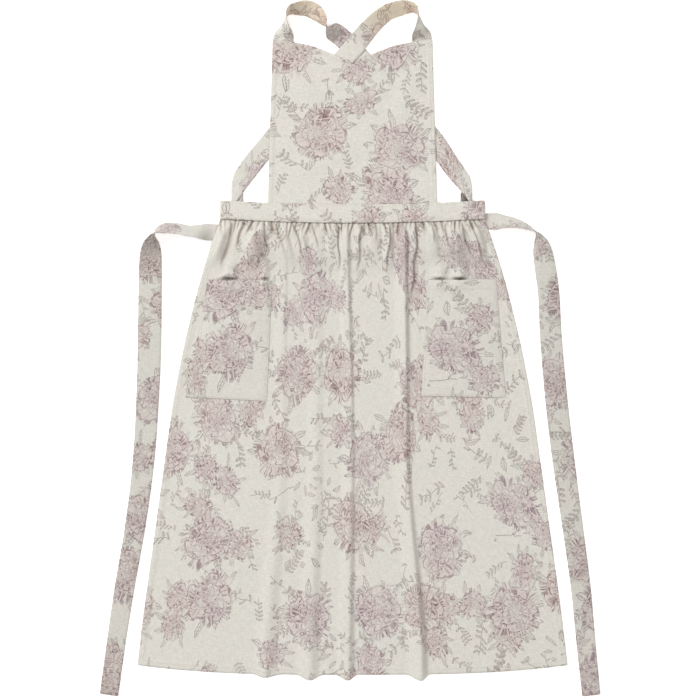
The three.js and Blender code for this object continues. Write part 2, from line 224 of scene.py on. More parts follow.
def sheet_object(name: str, sheet: Sheet) -> bpy.types.Object:
    """Makes a closed cloth with a rounded edge out of a grid.

    Args:
        name: Name of the new object.
        sheet: The faces in millimetres, rows running down and columns to the right.

    Returns:
        The object in metres, with the flat cloth as its UV map and its tints, painted shade and even tones,
        as an attribute.
    """
    rows, columns = sheet.over.shape[:2]
    count = rows * columns
    over, under = sheet.over.reshape(-1, 3), sheet.under.reshape(-1, 3)
    flat = sheet.flat.reshape(-1, 2)
    rim = rim_of(rows, columns)
    middle = (over[rim] + under[rim]) / 2
    run = np.roll(middle, -1, axis=0) - np.roll(middle, 1, axis=0)
    thick = over[rim] - under[rim]
    outward = np.cross(run, thick)
    outward /= np.maximum(np.linalg.norm(outward, axis=1, keepdims=True), 1e-9)
    middle = middle + outward * EDGE_ROUND * np.linalg.norm(thick, axis=1, keepdims=True)
    grid = np.arange(count).reshape(rows, columns)
    a, b = grid[:-1, :-1].ravel(), grid[:-1, 1:].ravel()
    d, c = grid[1:, :-1].ravel(), grid[1:, 1:].ravel()
    edge = 2 * count + np.arange(len(rim))
    p, q, e, f = rim, np.roll(rim, -1), edge, np.roll(edge, -1)
    faces = np.concatenate([
        np.stack([a, d, c, b], 1),
        np.stack([a, b, c, d], 1) + count,
        np.stack([p, e, f, q], 1),
        np.stack([e, p + count, q + count, f], 1),
    ])
    mesh = bpy.data.meshes.new(name)
    mesh.from_pydata((np.concatenate([over, under, middle]) * MM).tolist(), [], faces.tolist())
    corner = np.empty(len(mesh.loops), np.int32)
    mesh.loops.foreach_get("vertex_index", corner)
    place = np.concatenate([flat, flat, flat[rim]]) * MM
    layer = mesh.uv_layers.new(name=CLOTH_MAP)
    layer.uv.foreach_set("vector", place[corner].astype(np.float32).ravel())
    # Tints of painted shade and even tones, one per point; the rounded edge takes the mean of both faces
    tint_over, tint_under = sheet.tint_over.reshape(-1, 3), sheet.tint_under.reshape(-1, 3)
    tint = np.ones((len(place), 4), np.float32)
    tint[:, :3] = np.concatenate([tint_over, tint_under, (tint_over + tint_under)[rim] / 2])
    tinted = mesh.attributes.new(SHADE_AND_TONE_MAP, "FLOAT_COLOR", "POINT")
    tinted.data.foreach_set("color", tint.ravel())
    mesh.polygons.foreach_set("use_smooth", np.ones(len(mesh.polygons), bool))
    mesh.set_sharp_from_angle(angle=math.radians(SHARP_DEGREES))
    return placed(name, mesh)


# Shader nodes


class Wires:
    """Short calls that add nodes to one shader tree and join their sockets."""

    def __init__(self, tree: bpy.types.NodeTree) -> None:
        """Keeps the tree that the nodes go to."""
        self.tree = tree

    def feed(self, socket: Socket, value: Value) -> None:
        """Joins a socket to another one, or sets its value.

        Args:
            socket: The socket.
            value: A value, or a socket that gives one.
        """
        if isinstance(value, Socket):
            self.tree.links.new(value, socket)
        else:
            socket.default_value = value

    def fill(self, node: bpy.types.Node, inputs: Inputs) -> None:
        """Feeds inputs of one node, by name or number."""
        for name, value in inputs.items():
            self.feed(node.inputs[name], value)

    def add(self, kind: str, settings: Settings, inputs: Inputs) -> bpy.types.Node:
        """Adds one node.

        Args:
            kind: Blender's name for the node.
            settings: Its options.
            inputs: Values or sockets for its inputs, by name or number.

        Returns:
            The new node.
        """
        node = self.tree.nodes.new(kind)
        for option, choice in settings.items():
            setattr(node, option, choice)
        self.fill(node, inputs)
        return node

    def math(self, operation: str, *values: Value) -> Socket:
        """Adds one sum on numbers."""
        return self.add("ShaderNodeMath", {"operation": operation}, dict(enumerate(values))).outputs[0]

    def through(self, operation: str, values: Sequence[Value]) -> Socket:
        """Takes one sum from the first number through all the others.

        Args:
            operation: Blender's name for the sum.
            values: The numbers.

        Returns:
            The result.
        """
        total = values[0]
        for value in values[1:]:
            total = self.math(operation, total, value)
        return total

    def times(self, *values: Value) -> Socket:
        """Multiplies numbers."""
        return self.through("MULTIPLY", values)

    def plus(self, *values: Value) -> Socket:
        """Adds numbers."""
        return self.through("ADD", values)

    def most(self, *values: Value) -> Socket:
        """Gives the greatest of the numbers."""
        return self.through("MAXIMUM", values)

    def minus(self, first: Value, second: Value) -> Socket:
        """Takes the second number from the first."""
        return self.math("SUBTRACT", first, second)

    def size(self, value: Value) -> Socket:
        """Takes a number's sign away."""
        return self.math("ABSOLUTE", value)

    def below(self, value: Value, limit: Value) -> Socket:
        """Gives 1 where a number is below the limit, and 0 elsewhere."""
        return self.math("LESS_THAN", value, limit)

    def vector(self, operation: str, *values: Value) -> Socket:
        """Adds one sum on vectors that gives a vector."""
        return self.add("ShaderNodeVectorMath", {"operation": operation}, dict(enumerate(values))).outputs[0]

    def scaled(self, vector: Value, factor: Value) -> Socket:
        """Makes a vector longer or shorter."""
        return self.add("ShaderNodeVectorMath", {"operation": "SCALE"}, {0: vector, 3: factor}).outputs[0]

    def length(self, vector: Value) -> Socket:
        """Measures a vector."""
        return self.add("ShaderNodeVectorMath", {"operation": "LENGTH"}, {0: vector}).outputs["Value"]

    def parts(self, vector: Value) -> list[Socket]:
        """Splits a vector into its three numbers."""
        return list(self.add("ShaderNodeSeparateXYZ", {}, {0: vector}).outputs)

    def join(self, x: Value, y: Value, z: Value = 0.0) -> Socket:
        """Makes a vector of three numbers."""
        return self.add("ShaderNodeCombineXYZ", {}, {0: x, 1: y, 2: z}).outputs[0]

    def rise(self, value: Value, low: Value, high: Value) -> Socket:
        """Goes smoothly from 0 at low to 1 at high."""
        settings = {"interpolation_type": "SMOOTHSTEP"}
        return self.add("ShaderNodeMapRange", settings, {0: value, 1: low, 2: high}).outputs[0]

    def fall(self, value: Value, low: Value, high: Value) -> Socket:
        """Goes smoothly from 1 at low to 0 at high.

        Args:
            value: A value, or a socket that gives one.
            low: Where it starts to fall.
            high: Where it has fallen.

        Returns:
            The share.
        """
        settings = {"interpolation_type": "SMOOTHSTEP"}
        inputs = {0: value, 1: low, 2: high, 3: 1.0, 4: 0.0}
        return self.add("ShaderNodeMapRange", settings, inputs).outputs[0]

    def range(self, value: Value, low: Value, high: Value) -> Socket:
        """Turns 0 to 1 into low to high."""
        return self.add("ShaderNodeMapRange", {}, {0: value, 3: low, 4: high}).outputs[0]

    def noise(self, vector: Value, scale: float, detail: float = 2.0) -> Socket:
        """Adds a cloudy pattern from 0 to 1."""
        node = self.add("ShaderNodeTexNoise", {}, {"Vector": vector, "Scale": scale, "Detail": detail})
        return node.outputs[0]

    def cloud(self, vector: Value, scale: float) -> Socket:
        """Adds a cloudy vector about 0."""
        node = self.add("ShaderNodeTexNoise", {}, {"Vector": vector, "Scale": scale, "Detail": 2.0})
        return self.vector("SUBTRACT", node.outputs[1], (0.5, 0.5, 0.5))

    def cells(self, vector: Value, uneven: float) -> bpy.types.Node:
        """Adds a flat pattern of scattered cells.

        Args:
            vector: Place in cells.
            uneven: How scattered they are, from 0 to 1.

        Returns:
            The pattern's node.
        """
        settings = {"voronoi_dimensions": "2D", "feature": "F1"}
        inputs = {"Vector": vector, "Scale": 1.0, "Randomness": uneven}
        return self.add("ShaderNodeTexVoronoi", settings, inputs)

    def dice(self, first: Value, second: Value) -> Socket:
        """Throws a number from 0 to 1 for each pair of numbers."""
        inputs = {"Vector": self.join(first, second)}
        return self.add("ShaderNodeTexWhiteNoise", {"noise_dimensions": "2D"}, inputs).outputs["Value"]

    def turned(self, vector: Value, angle: Value) -> Socket:
        """Turns a vector in the plane of the cloth."""
        inputs = {"Vector": vector, "Angle": angle}
        return self.add("ShaderNodeVectorRotate", {"rotation_type": "Z_AXIS"}, inputs).outputs[0]

    def bumped(self, height: Value, strength: float, deep: float) -> Socket:
        """Turns heights into an uneven surface."""
        inputs = {"Strength": strength, "Distance": deep, "Height": height}
        return self.add("ShaderNodeBump", {}, inputs).outputs[0]

    def tinted(self, first: Value, second: Value) -> Socket:
        """Multiplies a colour by another."""
        settings = {"data_type": "RGBA", "blend_type": "MULTIPLY"}
        return self.add("ShaderNodeMix", settings, {0: 1.0, 6: first, 7: second}).outputs[2]

    def colour(self, factor: Value, first: Value, second: Value) -> Socket:
        """Mixes two colours."""
        node = self.add("ShaderNodeMix", {"data_type": "RGBA"}, {0: factor, 6: first, 7: second})
        return node.outputs[2]


# Finishes


def new_material(name: str) -> tuple[bpy.types.Material, Wires, bpy.types.Node]:
    """Makes a material.

    Args:
        name: Its name.

    Returns:
        The material, its wires and its surface shader.
    """
    made = bpy.data.materials.new(name)
    made.use_nodes = True
    return made, Wires(made.node_tree), made.node_tree.nodes["Principled BSDF"]


def paint(red: int, green: int, blue: int) -> Colour:
    """Turns a screen colour from 0 to 255 into the linear colour that shaders take."""
    linear = [((c / 255 + 0.055) / 1.055) ** 2.4 for c in (red, green, blue)]
    return (linear[0], linear[1], linear[2], 1.0)


class Motif(NamedTuple):
    """Where a place on the cloth lies in its cell, with the chances and the middle of the cell's motif."""

    spot: Socket
    luck: list[Socket]
    local: Socket


@dataclass(frozen=True)
class PrintLayer:
    """Motifs of one kind, scattered over the cloth, each turned and bent its own way."""

    cell: float
    shift: Triple
    shown: float
    uneven: float = 0.7
    bend: float = 0.16
    bend_scale: float = 3.2

    def scatter(self, wires: Wires, cloth: Socket) -> Motif:
        """Scatters the motifs.

        Args:
            wires: Where the nodes go.
            cloth: Place on the flat cloth in metres.

        Returns:
            The motif at that place.
        """
        spot = wires.vector("ADD", wires.scaled(cloth, 1 / self.cell), self.shift)
        cells = wires.cells(spot, self.uneven)
        luck = wires.parts(cells.outputs["Color"])
        from_middle = wires.vector("SUBTRACT", spot, cells.outputs["Position"])
        bent = wires.vector("ADD", from_middle, wires.scaled(wires.cloud(spot, self.bend_scale), self.bend))
        return Motif(spot, luck, wires.turned(bent, wires.times(luck[0], FULL_TURN)))


@dataclass(frozen=True)
class RoseLayer(PrintLayer):
    """One size of rose in fine lines, with leaves round it."""

    radius: float = 0.39
    rings: float = 3.6
    petals: int = 5
    scallop: float = 0.6
    heart: float = 0.02
    twist: float = 0.75
    wobble: float = 1.1
    wobble_scale: float = 9.0
    wide: Pair = (0.95, 1.4)
    tall: Pair = (1.2, 0.85)
    stroke_gap: float = 0.0035
    stroke_run: float = 1.1
    stroke_edge: Pair = (0.47, 0.53)
    shade_scale: float = 4.5
    shade_edge: Pair = (0.3, 0.62)
    rim_soft: float = 0.06
    rim_fade: float = 1.1
    leaves: int = 10
    leaf_half: float = 0.04
    leaf_long: Pair = (0.08, 0.31)
    leaf_more: float = 0.1
    vein_out: float = 150.0
    vein_aside: float = 130.0

    def draw(self, wires: Wires, cloth: Socket) -> dict[str, Socket]:
        """Draws the layer's line work: scalloped rings of petals with fine strokes at their feet.

        Args:
            wires: Where the nodes go.
            cloth: Place on the flat cloth in metres.

        Returns:
            The ink of the lines, the pale wash inside the flower, the ink of the leaves, the mask and a tone.
        """
        spot, luck, place = self.scatter(wires, cloth)
        squash = wires.join(wires.range(luck[1], *self.wide), wires.range(luck[1], *self.tall))
        local = wires.vector("MULTIPLY", place, squash)
        out = wires.length(local)
        ring = self.petal_rings(wires, spot, local, out)
        within = wires.math("FRACT", ring)
        outline = wires.most(wires.fall(within, 0.02, 0.2), wires.rise(within, 0.95, 1.0))
        feet = wires.fall(within, 0.4, 1.0)
        shade = wires.rise(wires.noise(spot, self.shade_scale, 1.0), *self.shade_edge)
        hatch = wires.times(self.strokes(wires, ring, local), feet, wires.range(shade, 0.35, 1.0))
        rim = math.log(self.radius + self.heart) * self.rings
        blooms = wires.below(luck[2], self.shown)
        mask = wires.times(wires.fall(ring, rim - self.rim_soft, rim), blooms)
        fading = wires.times(wires.fall(ring, rim - self.rim_fade, rim), blooms)
        leafy = wires.below(luck[2], self.shown + self.leaf_more)
        return {
            "lines": wires.times(wires.most(outline, hatch), mask),
            "wash": wires.times(fading, wires.range(shade, 0.4, 1.0)),
            "leaf": wires.times(self.leaf_ring(wires, local, out, luck[2]), leafy),
            "mask": mask,
            "tone": luck[0],
        }

    def petal_rings(self, wires: Wires, spot: Socket, local: Socket, out: Socket) -> Socket:
        """Counts the rings of petals from the rim inwards.

        Args:
            wires: Where the nodes go.
            spot: Place in cells.
            local: Place about the middle of the flower.
            out: Distance from that middle.

        Returns:
            The number of the ring, with the share of the way across it as its fraction.
        """
        across, up, _ = wires.parts(local)
        depth = wires.times(wires.math("LOGARITHM", wires.plus(out, self.heart), math.e), self.rings)
        spun = wires.math("MULTIPLY_ADD", depth, self.twist, wires.math("ARCTAN2", up, across))
        bows = wires.size(wires.math("SINE", wires.times(spun, self.petals / 2)))
        wobble = wires.times(wires.noise(spot, self.wobble_scale, 1.0), self.wobble)
        return wires.plus(wires.minus(depth, wires.times(bows, self.scallop)), wobble)

    def strokes(self, wires: Wires, ring: Socket, local: Socket) -> Socket:
        """Draws fine strokes that run outwards in each ring, equally far apart in all of them.

        Args:
            wires: Where the nodes go.
            ring: Number of the ring.
            local: Place about the middle of the flower.

        Returns:
            The ink of the strokes.
        """
        radius = wires.math("EXPONENT", wires.math("DIVIDE", wires.math("FLOOR", ring), self.rings))
        often = wires.times(radius, self.cell / self.stroke_gap)
        around = wires.scaled(wires.vector("NORMALIZE", local), often)
        inward = wires.join(0.0, 0.0, wires.times(ring, self.stroke_run))
        return wires.rise(wires.noise(wires.vector("ADD", around, inward), 1.0, 1.0), *self.stroke_edge)

    def leaf_ring(self, wires: Wires, local: Socket, out: Socket, luck: Socket) -> Socket:
        """Draws leaves that point out from under the flower.

        Args:
            wires: Where the nodes go.
            local: Place about the middle of the flower.
            out: Distance from that middle.
            luck: A number from 0 to 1 that differs between flowers.

        Returns:
            The ink of the leaves.
        """
        across, up, _ = wires.parts(local)
        sector = wires.times(wires.math("ARCTAN2", up, across), self.leaves / FULL_TURN)
        long = wires.range(wires.dice(wires.math("FLOOR", sector), luck), *self.leaf_long)
        along = wires.math("DIVIDE", wires.minus(out, 0.7 * self.radius), long)
        aside = wires.minus(wires.math("FRACT", sector), 0.5)
        beside = wires.times(wires.size(aside), wires.times(out, FULL_TURN / self.leaves))
        bow = wires.math("SINE", wires.times(wires.math("MINIMUM", along, 1.0), math.pi))
        half = wires.times(wires.most(bow, 0.0), self.leaf_half)
        border = wires.fall(wires.minus(half, beside), 0.004, 0.014)
        vein_at = wires.minus(wires.times(out, self.vein_out), wires.times(beside, self.vein_aside))
        veins = wires.times(wires.rise(wires.math("SINE", vein_at), 0.35, 0.9), 0.6)
        ink = wires.most(border, wires.fall(beside, 0.002, 0.007), veins)
        return wires.times(ink, wires.below(beside, half))


@dataclass(frozen=True)
class SprigLayer(PrintLayer):
    """Small leafy sprigs between the roses."""

    bend: float = 0.06
    bend_scale: float = 4.0
    period: float = 0.115
    stem_half: float = 0.36
    stem_tip: float = 0.02
    stem_bends: float = 5.0
    stem_sway: float = 0.06
    line: Pair = (0.004, 0.012)
    leaf_foot: float = 0.05
    leaf_slant: float = 0.55
    leaf_half: float = 0.036
    leaf_out: float = 0.07
    leaf_reach: float = 0.06
    missing: float = 0.42

    def draw(self, wires: Wires, cloth: Socket) -> Socket:
        """Draws the sprigs.

        Args:
            wires: Where the nodes go.
            cloth: Place on the flat cloth in metres.

        Returns:
            The ink of the sprigs.
        """
        _, luck, place = self.scatter(wires, cloth)
        along, aside, _ = wires.parts(place)
        stem = wires.times(wires.math("SINE", wires.times(along, self.stem_bends)), self.stem_sway)
        off = wires.minus(aside, stem)
        away = wires.size(off)
        step = wires.math("DIVIDE", along, self.period)
        within = wires.times(wires.minus(wires.math("FRACT", step), 0.5), self.period)
        slanted = wires.minus(within, wires.times(wires.minus(away, self.leaf_foot), self.leaf_slant))
        wide = wires.math("DIVIDE", slanted, self.leaf_half)
        far = wires.math("DIVIDE", wires.minus(away, self.leaf_out), self.leaf_reach)
        leaf = wires.plus(wires.times(wide, wide), wires.times(far, far))
        number = wires.plus(wires.math("FLOOR", step), wires.math("SIGN", off))
        grown = wires.math("GREATER_THAN", wires.dice(number, luck[1]), self.missing)
        border = wires.times(wires.rise(leaf, 0.2, 0.62), wires.fall(leaf, 0.85, 1.1))
        rib = wires.times(wires.fall(wires.size(slanted), *self.line), wires.fall(leaf, 0.9, 1.0))
        ink = wires.most(wires.times(wires.most(border, rib), grown), wires.fall(away, *self.line))
        ends = wires.fall(wires.size(along), self.stem_half - self.stem_tip, self.stem_half)
        return wires.times(ink, ends, wires.below(luck[2], self.shown))


@dataclass(frozen=True)
class FloralPrint:
    """A faded print of roses, buds and sprigs in fine lines, of no particular maker."""

    big: RoseLayer = RoseLayer(0.132, (3.3, 7.1, 0.0), 0.88)
    small: RoseLayer = RoseLayer(0.092, (11.7, 2.9, 0.0), 0.68, radius=0.32, rings=3.0)
    sprigs: SprigLayer = SprigLayer(0.074, (5.2, 9.4, 0.0), 0.8)
    twigs: SprigLayer = SprigLayer(0.055, (8.6, 1.7, 0.0), 0.55)
    drift_scale: float = 5.0
    own_tone: float = 0.25
    tone_edge: Pair = (0.45, 0.8)

    def group(self) -> bpy.types.NodeTree:
        """Makes the print as one node group.

        Returns:
            The group: flat cloth in; flower ink, leaf ink, wash and tone out.
        """
        tree = bpy.data.node_groups.new("floral_print", "ShaderNodeTree")
        tree.interface.new_socket("Cloth", in_out="INPUT", socket_type="NodeSocketVector")
        wires = Wires(tree)
        cloth = wires.add("NodeGroupInput", {}, {}).outputs[0]
        big, small = self.big.draw(wires, cloth), self.small.draw(wires, cloth)
        sprigs = wires.most(self.sprigs.draw(wires, cloth), self.twigs.draw(wires, cloth))
        beside_big = wires.minus(1.0, big["mask"])
        bare = wires.minus(1.0, wires.most(big["mask"], small["mask"]))
        drift = wires.noise(cloth, self.drift_scale, 1.0)
        ends = {
            "Flower": wires.most(big["lines"], wires.times(small["lines"], beside_big)),
            "Leaf": wires.times(wires.most(big["leaf"], small["leaf"], sprigs), bare),
            "Wash": wires.most(big["wash"], small["wash"]),
            "Tone": wires.rise(wires.plus(drift, wires.times(big["tone"], self.own_tone)), *self.tone_edge),
        }
        for name in ends:
            tree.interface.new_socket(name, in_out="OUTPUT", socket_type="NodeSocketFloat")
        wires.add("NodeGroupOutput", {}, ends)
        return tree


@dataclass(frozen=True)
class PrintedCloth:
    """Soft linen-cotton weave with the floral print, faded and a little slubby."""

    name: str
    ground: Colour = paint(214, 214, 206)
    ground_warm: Colour = paint(219, 213, 207)
    ground_scale: float = 24.0
    slub: Colour = paint(240, 239, 236)
    slub_edge: Pair = (0.36, 0.64)
    rose: Colour = paint(126, 98, 94)
    lilac: Colour = paint(128, 106, 117)
    sprig: Colour = paint(124, 117, 108)
    wash: Colour = paint(206, 187, 186)
    warp: Triple = (640.0, 110.0, 1.0)
    weft: Triple = (95.0, 560.0, 1.0)
    thread_pitch: float = 0.00085
    ink_edge: Pair = (0.4, 0.58)
    ink_on_threads: Pair = (0.5, 1.05)
    worn: Pair = (0.62, 1.15)
    worn_scale: float = 16.0
    leaf_tint: float = 0.5
    leaf_strength: float = 0.88
    wash_strength: float = 0.6
    roughness: Pair = (0.78, 0.96)
    gloss: float = 0.22
    sheen: float = 0.12
    sheen_roughness: float = 0.5
    weave_high: float = 0.12
    slub_high: float = 0.3
    crumple_high: float = 1.6
    crumple_scale: float = 55.0
    bump: float = 0.5
    bump_deep: float = 0.0012

    def material(self, floral: bpy.types.NodeTree) -> bpy.types.Material:
        """Makes the cloth's material.

        Args:
            floral: The print.

        Returns:
            A material that reads the piece's flat cloth map and its tints, which multiply in painted shade
            and even tones.
        """
        made, wires, shader = new_material(self.name)
        cloth = wires.add("ShaderNodeUVMap", {"uv_map": CLOTH_MAP}, {}).outputs[0]
        ways = (self.warp, self.weft)
        warp, weft = (wires.noise(wires.vector("MULTIPLY", cloth, way), 1.0) for way in ways)
        slubs = wires.times(wires.plus(warp, weft), 0.5)
        printed = self.printed(wires, cloth, slubs, floral)
        grain = wires.colour(wires.rise(slubs, *self.slub_edge), self.slub, (1.0, 1.0, 1.0, 1.0))
        # Painted shade and even tones, read from the piece's tint attribute
        tint = wires.add("ShaderNodeAttribute", {"attribute_name": SHADE_AND_TONE_MAP}, {}).outputs["Color"]
        across, down, _ = wires.parts(wires.scaled(cloth, FULL_TURN / self.thread_pitch))
        weave = wires.times(wires.math("SINE", across), wires.math("SINE", down))
        crumple = wires.times(wires.noise(cloth, self.crumple_scale, 3.0), self.crumple_high)
        height = wires.plus(wires.times(weave, self.weave_high), wires.times(slubs, self.slub_high), crumple)
        wires.fill(shader, {
            "Base Color": wires.tinted(wires.tinted(printed, grain), tint),
            "Roughness": wires.range(slubs, *self.roughness),
            "Specular IOR Level": self.gloss,
            "Sheen Weight": self.sheen,
            "Sheen Roughness": self.sheen_roughness,
            "Normal": wires.bumped(height, self.bump, self.bump_deep),
        })
        return made

    def printed(self, wires: Wires, cloth: Socket, slubs: Socket, floral: bpy.types.NodeTree) -> Socket:
        """Prints the ground: wash first, then leaves, then flowers, each worn and broken by the threads.

        Args:
            wires: Where the nodes go.
            cloth: Place on the flat cloth in metres.
            slubs: How thick the threads are there.
            floral: The print.

        Returns:
            The printed colour.
        """
        design = wires.add("ShaderNodeGroup", {"node_tree": floral}, {"Cloth": cloth})
        flower, leaf, wash, tone = (design.outputs[n] for n in ("Flower", "Leaf", "Wash", "Tone"))
        broken = wires.range(wires.rise(slubs, *self.ink_edge), *self.ink_on_threads)
        faded = wires.times(broken, wires.range(wires.noise(cloth, self.worn_scale), *self.worn))
        base = wires.colour(wires.noise(cloth, self.ground_scale), self.ground, self.ground_warm)
        ink = wires.colour(tone, self.rose, self.lilac)
        washed = wires.colour(wires.times(wash, self.wash_strength), base, self.wash)
        leaf_ink = wires.times(leaf, faded, self.leaf_strength)
        leafy = wires.colour(leaf_ink, washed, wires.colour(self.leaf_tint, self.sprig, ink))
        return wires.colour(wires.times(flower, faded), leafy, ink)


@dataclass(frozen=True)
class SewingThread:
    """Plain spun thread of the stitches."""

    name: str = "sewing_thread"
    pale: Colour = paint(206, 201, 189)
    deep: Colour = paint(178, 170, 157)
    twist_scale: float = 2200.0
    roughness: Pair = (0.55, 0.8)
    sheen: float = 0.1
    bump: float = 0.3
    bump_deep: float = 0.0002

    def material(self) -> bpy.types.Material:
        """Makes the thread's material.

        Returns:
            A material with fine twisted streaks.
        """
        made, wires, shader = new_material(self.name)
        place = wires.add("ShaderNodeTexCoord", {}, {}).outputs["Object"]
        twist = wires.noise(place, self.twist_scale, 1.0)
        wires.fill(shader, {
            "Base Color": wires.colour(twist, self.deep, self.pale),
            "Roughness": wires.range(twist, *self.roughness),
            "Sheen Weight": self.sheen,
            "Normal": wires.bumped(twist, self.bump, self.bump_deep),
        })
        return made


# Stitches


@dataclass(frozen=True)
class StitchRun:
    """A row of machine stitches along a line, made by one Geometry Nodes tree."""

    pitch: float = 3.4
    long: float = 2.5
    thick: float = 0.62

    def tree(self) -> bpy.types.NodeTree:
        """Makes the tree once.

        Returns:
            The tree: lines in, with pitch, stitch size and thread; stitches out as plain mesh.
        """
        known = bpy.data.node_groups.get("stitch_run")
        if known:
            return known
        tree = bpy.data.node_groups.new("stitch_run", "GeometryNodeTree")
        sockets = (("Lines", "Geometry"), ("Pitch", "Float"), ("Stitch", "Vector"), ("Thread", "Material"))
        for name, kind in sockets:
            tree.interface.new_socket(name, in_out="INPUT", socket_type="NodeSocket" + kind)
        tree.interface.new_socket("Stitches", in_out="OUTPUT", socket_type="NodeSocketGeometry")
        wires = Wires(tree)
        given = wires.add("NodeGroupInput", {}, {})
        lines, pitch, stitch, thread = given.outputs[:4]
        curve = wires.add("GeometryNodeMeshToCurve", {}, {0: lines})
        spaced = {"Curve": curve.outputs[0], "Length": pitch}
        even = wires.add("GeometryNodeResampleCurve", {"mode": "LENGTH"}, spaced)
        along = wires.add("GeometryNodeInputTangent", {}, {})
        turn = wires.add("FunctionNodeAlignRotationToVector", {"axis": "X"}, {"Vector": along.outputs[0]})
        ball = wires.add("GeometryNodeMeshIcoSphere", {}, {"Radius": 0.5, "Subdivisions": 1})
        laid = wires.add("GeometryNodeInstanceOnPoints", {}, {
            "Points": even.outputs[0],
            "Instance": ball.outputs[0],
            "Rotation": turn.outputs[0],
            "Scale": stitch,
        })
        plain = wires.add("GeometryNodeRealizeInstances", {}, {0: laid.outputs[0]})
        smooth = wires.add("GeometryNodeSetShadeSmooth", {}, {0: plain.outputs[0]})
        dressed = wires.add("GeometryNodeSetMaterial", {}, {0: smooth.outputs[0], "Material": thread})
        wires.add("NodeGroupOutput", {}, {0: dressed.outputs[0]})
        return tree

    def sew(self, name: str, lines: Sequence[Array], thread: bpy.types.Material) -> bpy.types.Object:
        """Sews stitches along lines.

        Args:
            name: Name of the new object.
            lines: Lines of points in millimetres.
            thread: Material of the stitches.

        Returns:
            One plain mesh with all the stitches.
        """
        points, edges, first = [], [], 0
        for line in lines:
            points.extend((line * MM).tolist())
            edges.extend((first + k, first + k + 1) for k in range(len(line) - 1))
            first += len(line)
        mesh = bpy.data.meshes.new(name + "_lines")
        mesh.from_pydata(points, edges, [])
        guide = placed(name + "_lines", mesh)
        tree = self.tree()
        modifier = guide.modifiers.new("stitches", "NODES")
        modifier.node_group = tree
        inputs = {i.name: i.identifier for i in tree.interface.items_tree if i.in_out == "INPUT"}
        modifier[inputs["Pitch"]] = self.pitch * MM
        modifier[inputs["Stitch"]] = (self.long * MM, self.thick * MM, self.thick * MM)
        modifier[inputs["Thread"]] = thread
        graph = bpy.context.evaluated_depsgraph_get()
        sewn = bpy.data.meshes.new_from_object(guide.evaluated_get(graph), depsgraph=graph)
        sewn.name = name
        guide.modifiers.clear()
        bpy.data.objects.remove(guide)
        return placed(name, sewn)


# Sub-assemblies


@dataclass
class ClothPiece:
    """A sewn piece of cloth: a closed sheet that stands for one solid, with its rows of stitches."""

    name: str
    slot: Slot
    held: Held
    columns: int
    rows: int
    shift: Pair
    rests_on: tuple[str, ...] = ()
    with_nodes: tuple[str, ...] = ()

    def place(self, u: Array, v: Array) -> tuple[Array, Array]:
        """Gives the upper and lower face at shares u across and v down; each piece has its own."""
        raise NotImplementedError

    def seams(self) -> list[Array]:
        """Lists the lines that stitches follow; each piece has its own."""
        raise NotImplementedError

    def cut(self) -> Triple:
        """Gives the width, length and area of the flat cloth in metres; each piece has its own."""
        raise NotImplementedError

    def down(self) -> Array:
        """Gives the shares at which the rows lie."""
        return np.linspace(0.0, 1.0, self.rows)

    def tints(self, over: Array, v: Array) -> tuple[Array, Array]:
        """Gives the colours that tint the upper and lower face: painted shade or an even tone on some pieces,
        none here.
        """
        return np.ones_like(over), np.ones_like(over)

    def flat(self, over: Array) -> Array:
        """Gives each grid point's place on the flat cloth, from above."""
        return over[..., :2] + np.array(self.shift)

    def sheet(self) -> Sheet:
        """Makes the grid of the piece.

        Returns:
            The grid.
        """
        u, v = np.meshgrid(np.linspace(0.0, 1.0, self.columns), self.down())
        over, under = self.place(u, v)
        return Sheet(over, under, self.flat(over), *self.tints(over, v))

    def line(self, u: Share, v: Share) -> Array:
        """Gives a line of stitches on the upper face, at shares u across and v down."""
        return self.place(*np.broadcast_arrays(u, v))[0] + np.array([0.0, 0.0, STITCH_LIFT])

    def build(self, cloth: bpy.types.Material, thread: bpy.types.Material) -> None:
        """Args:
            cloth: Material of the sheet.
            thread: Material of the stitches.
        """
        cover = sheet_object(self.name + "_cloth", self.sheet())
        cover.data.materials.append(cloth)
        stitches = StitchRun().sew(self.name + "_stitches", self.seams(), thread)
        for piece in (cover, stitches):
            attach(piece, "root")
        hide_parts(self.name, *self.with_nodes)
        width, length, area = self.cut()
        faces = [len(piece.data.polygons) for piece in (cover, stitches)]
        log.info("%s: %d faces, %d stitch faces", self.name, *faces)


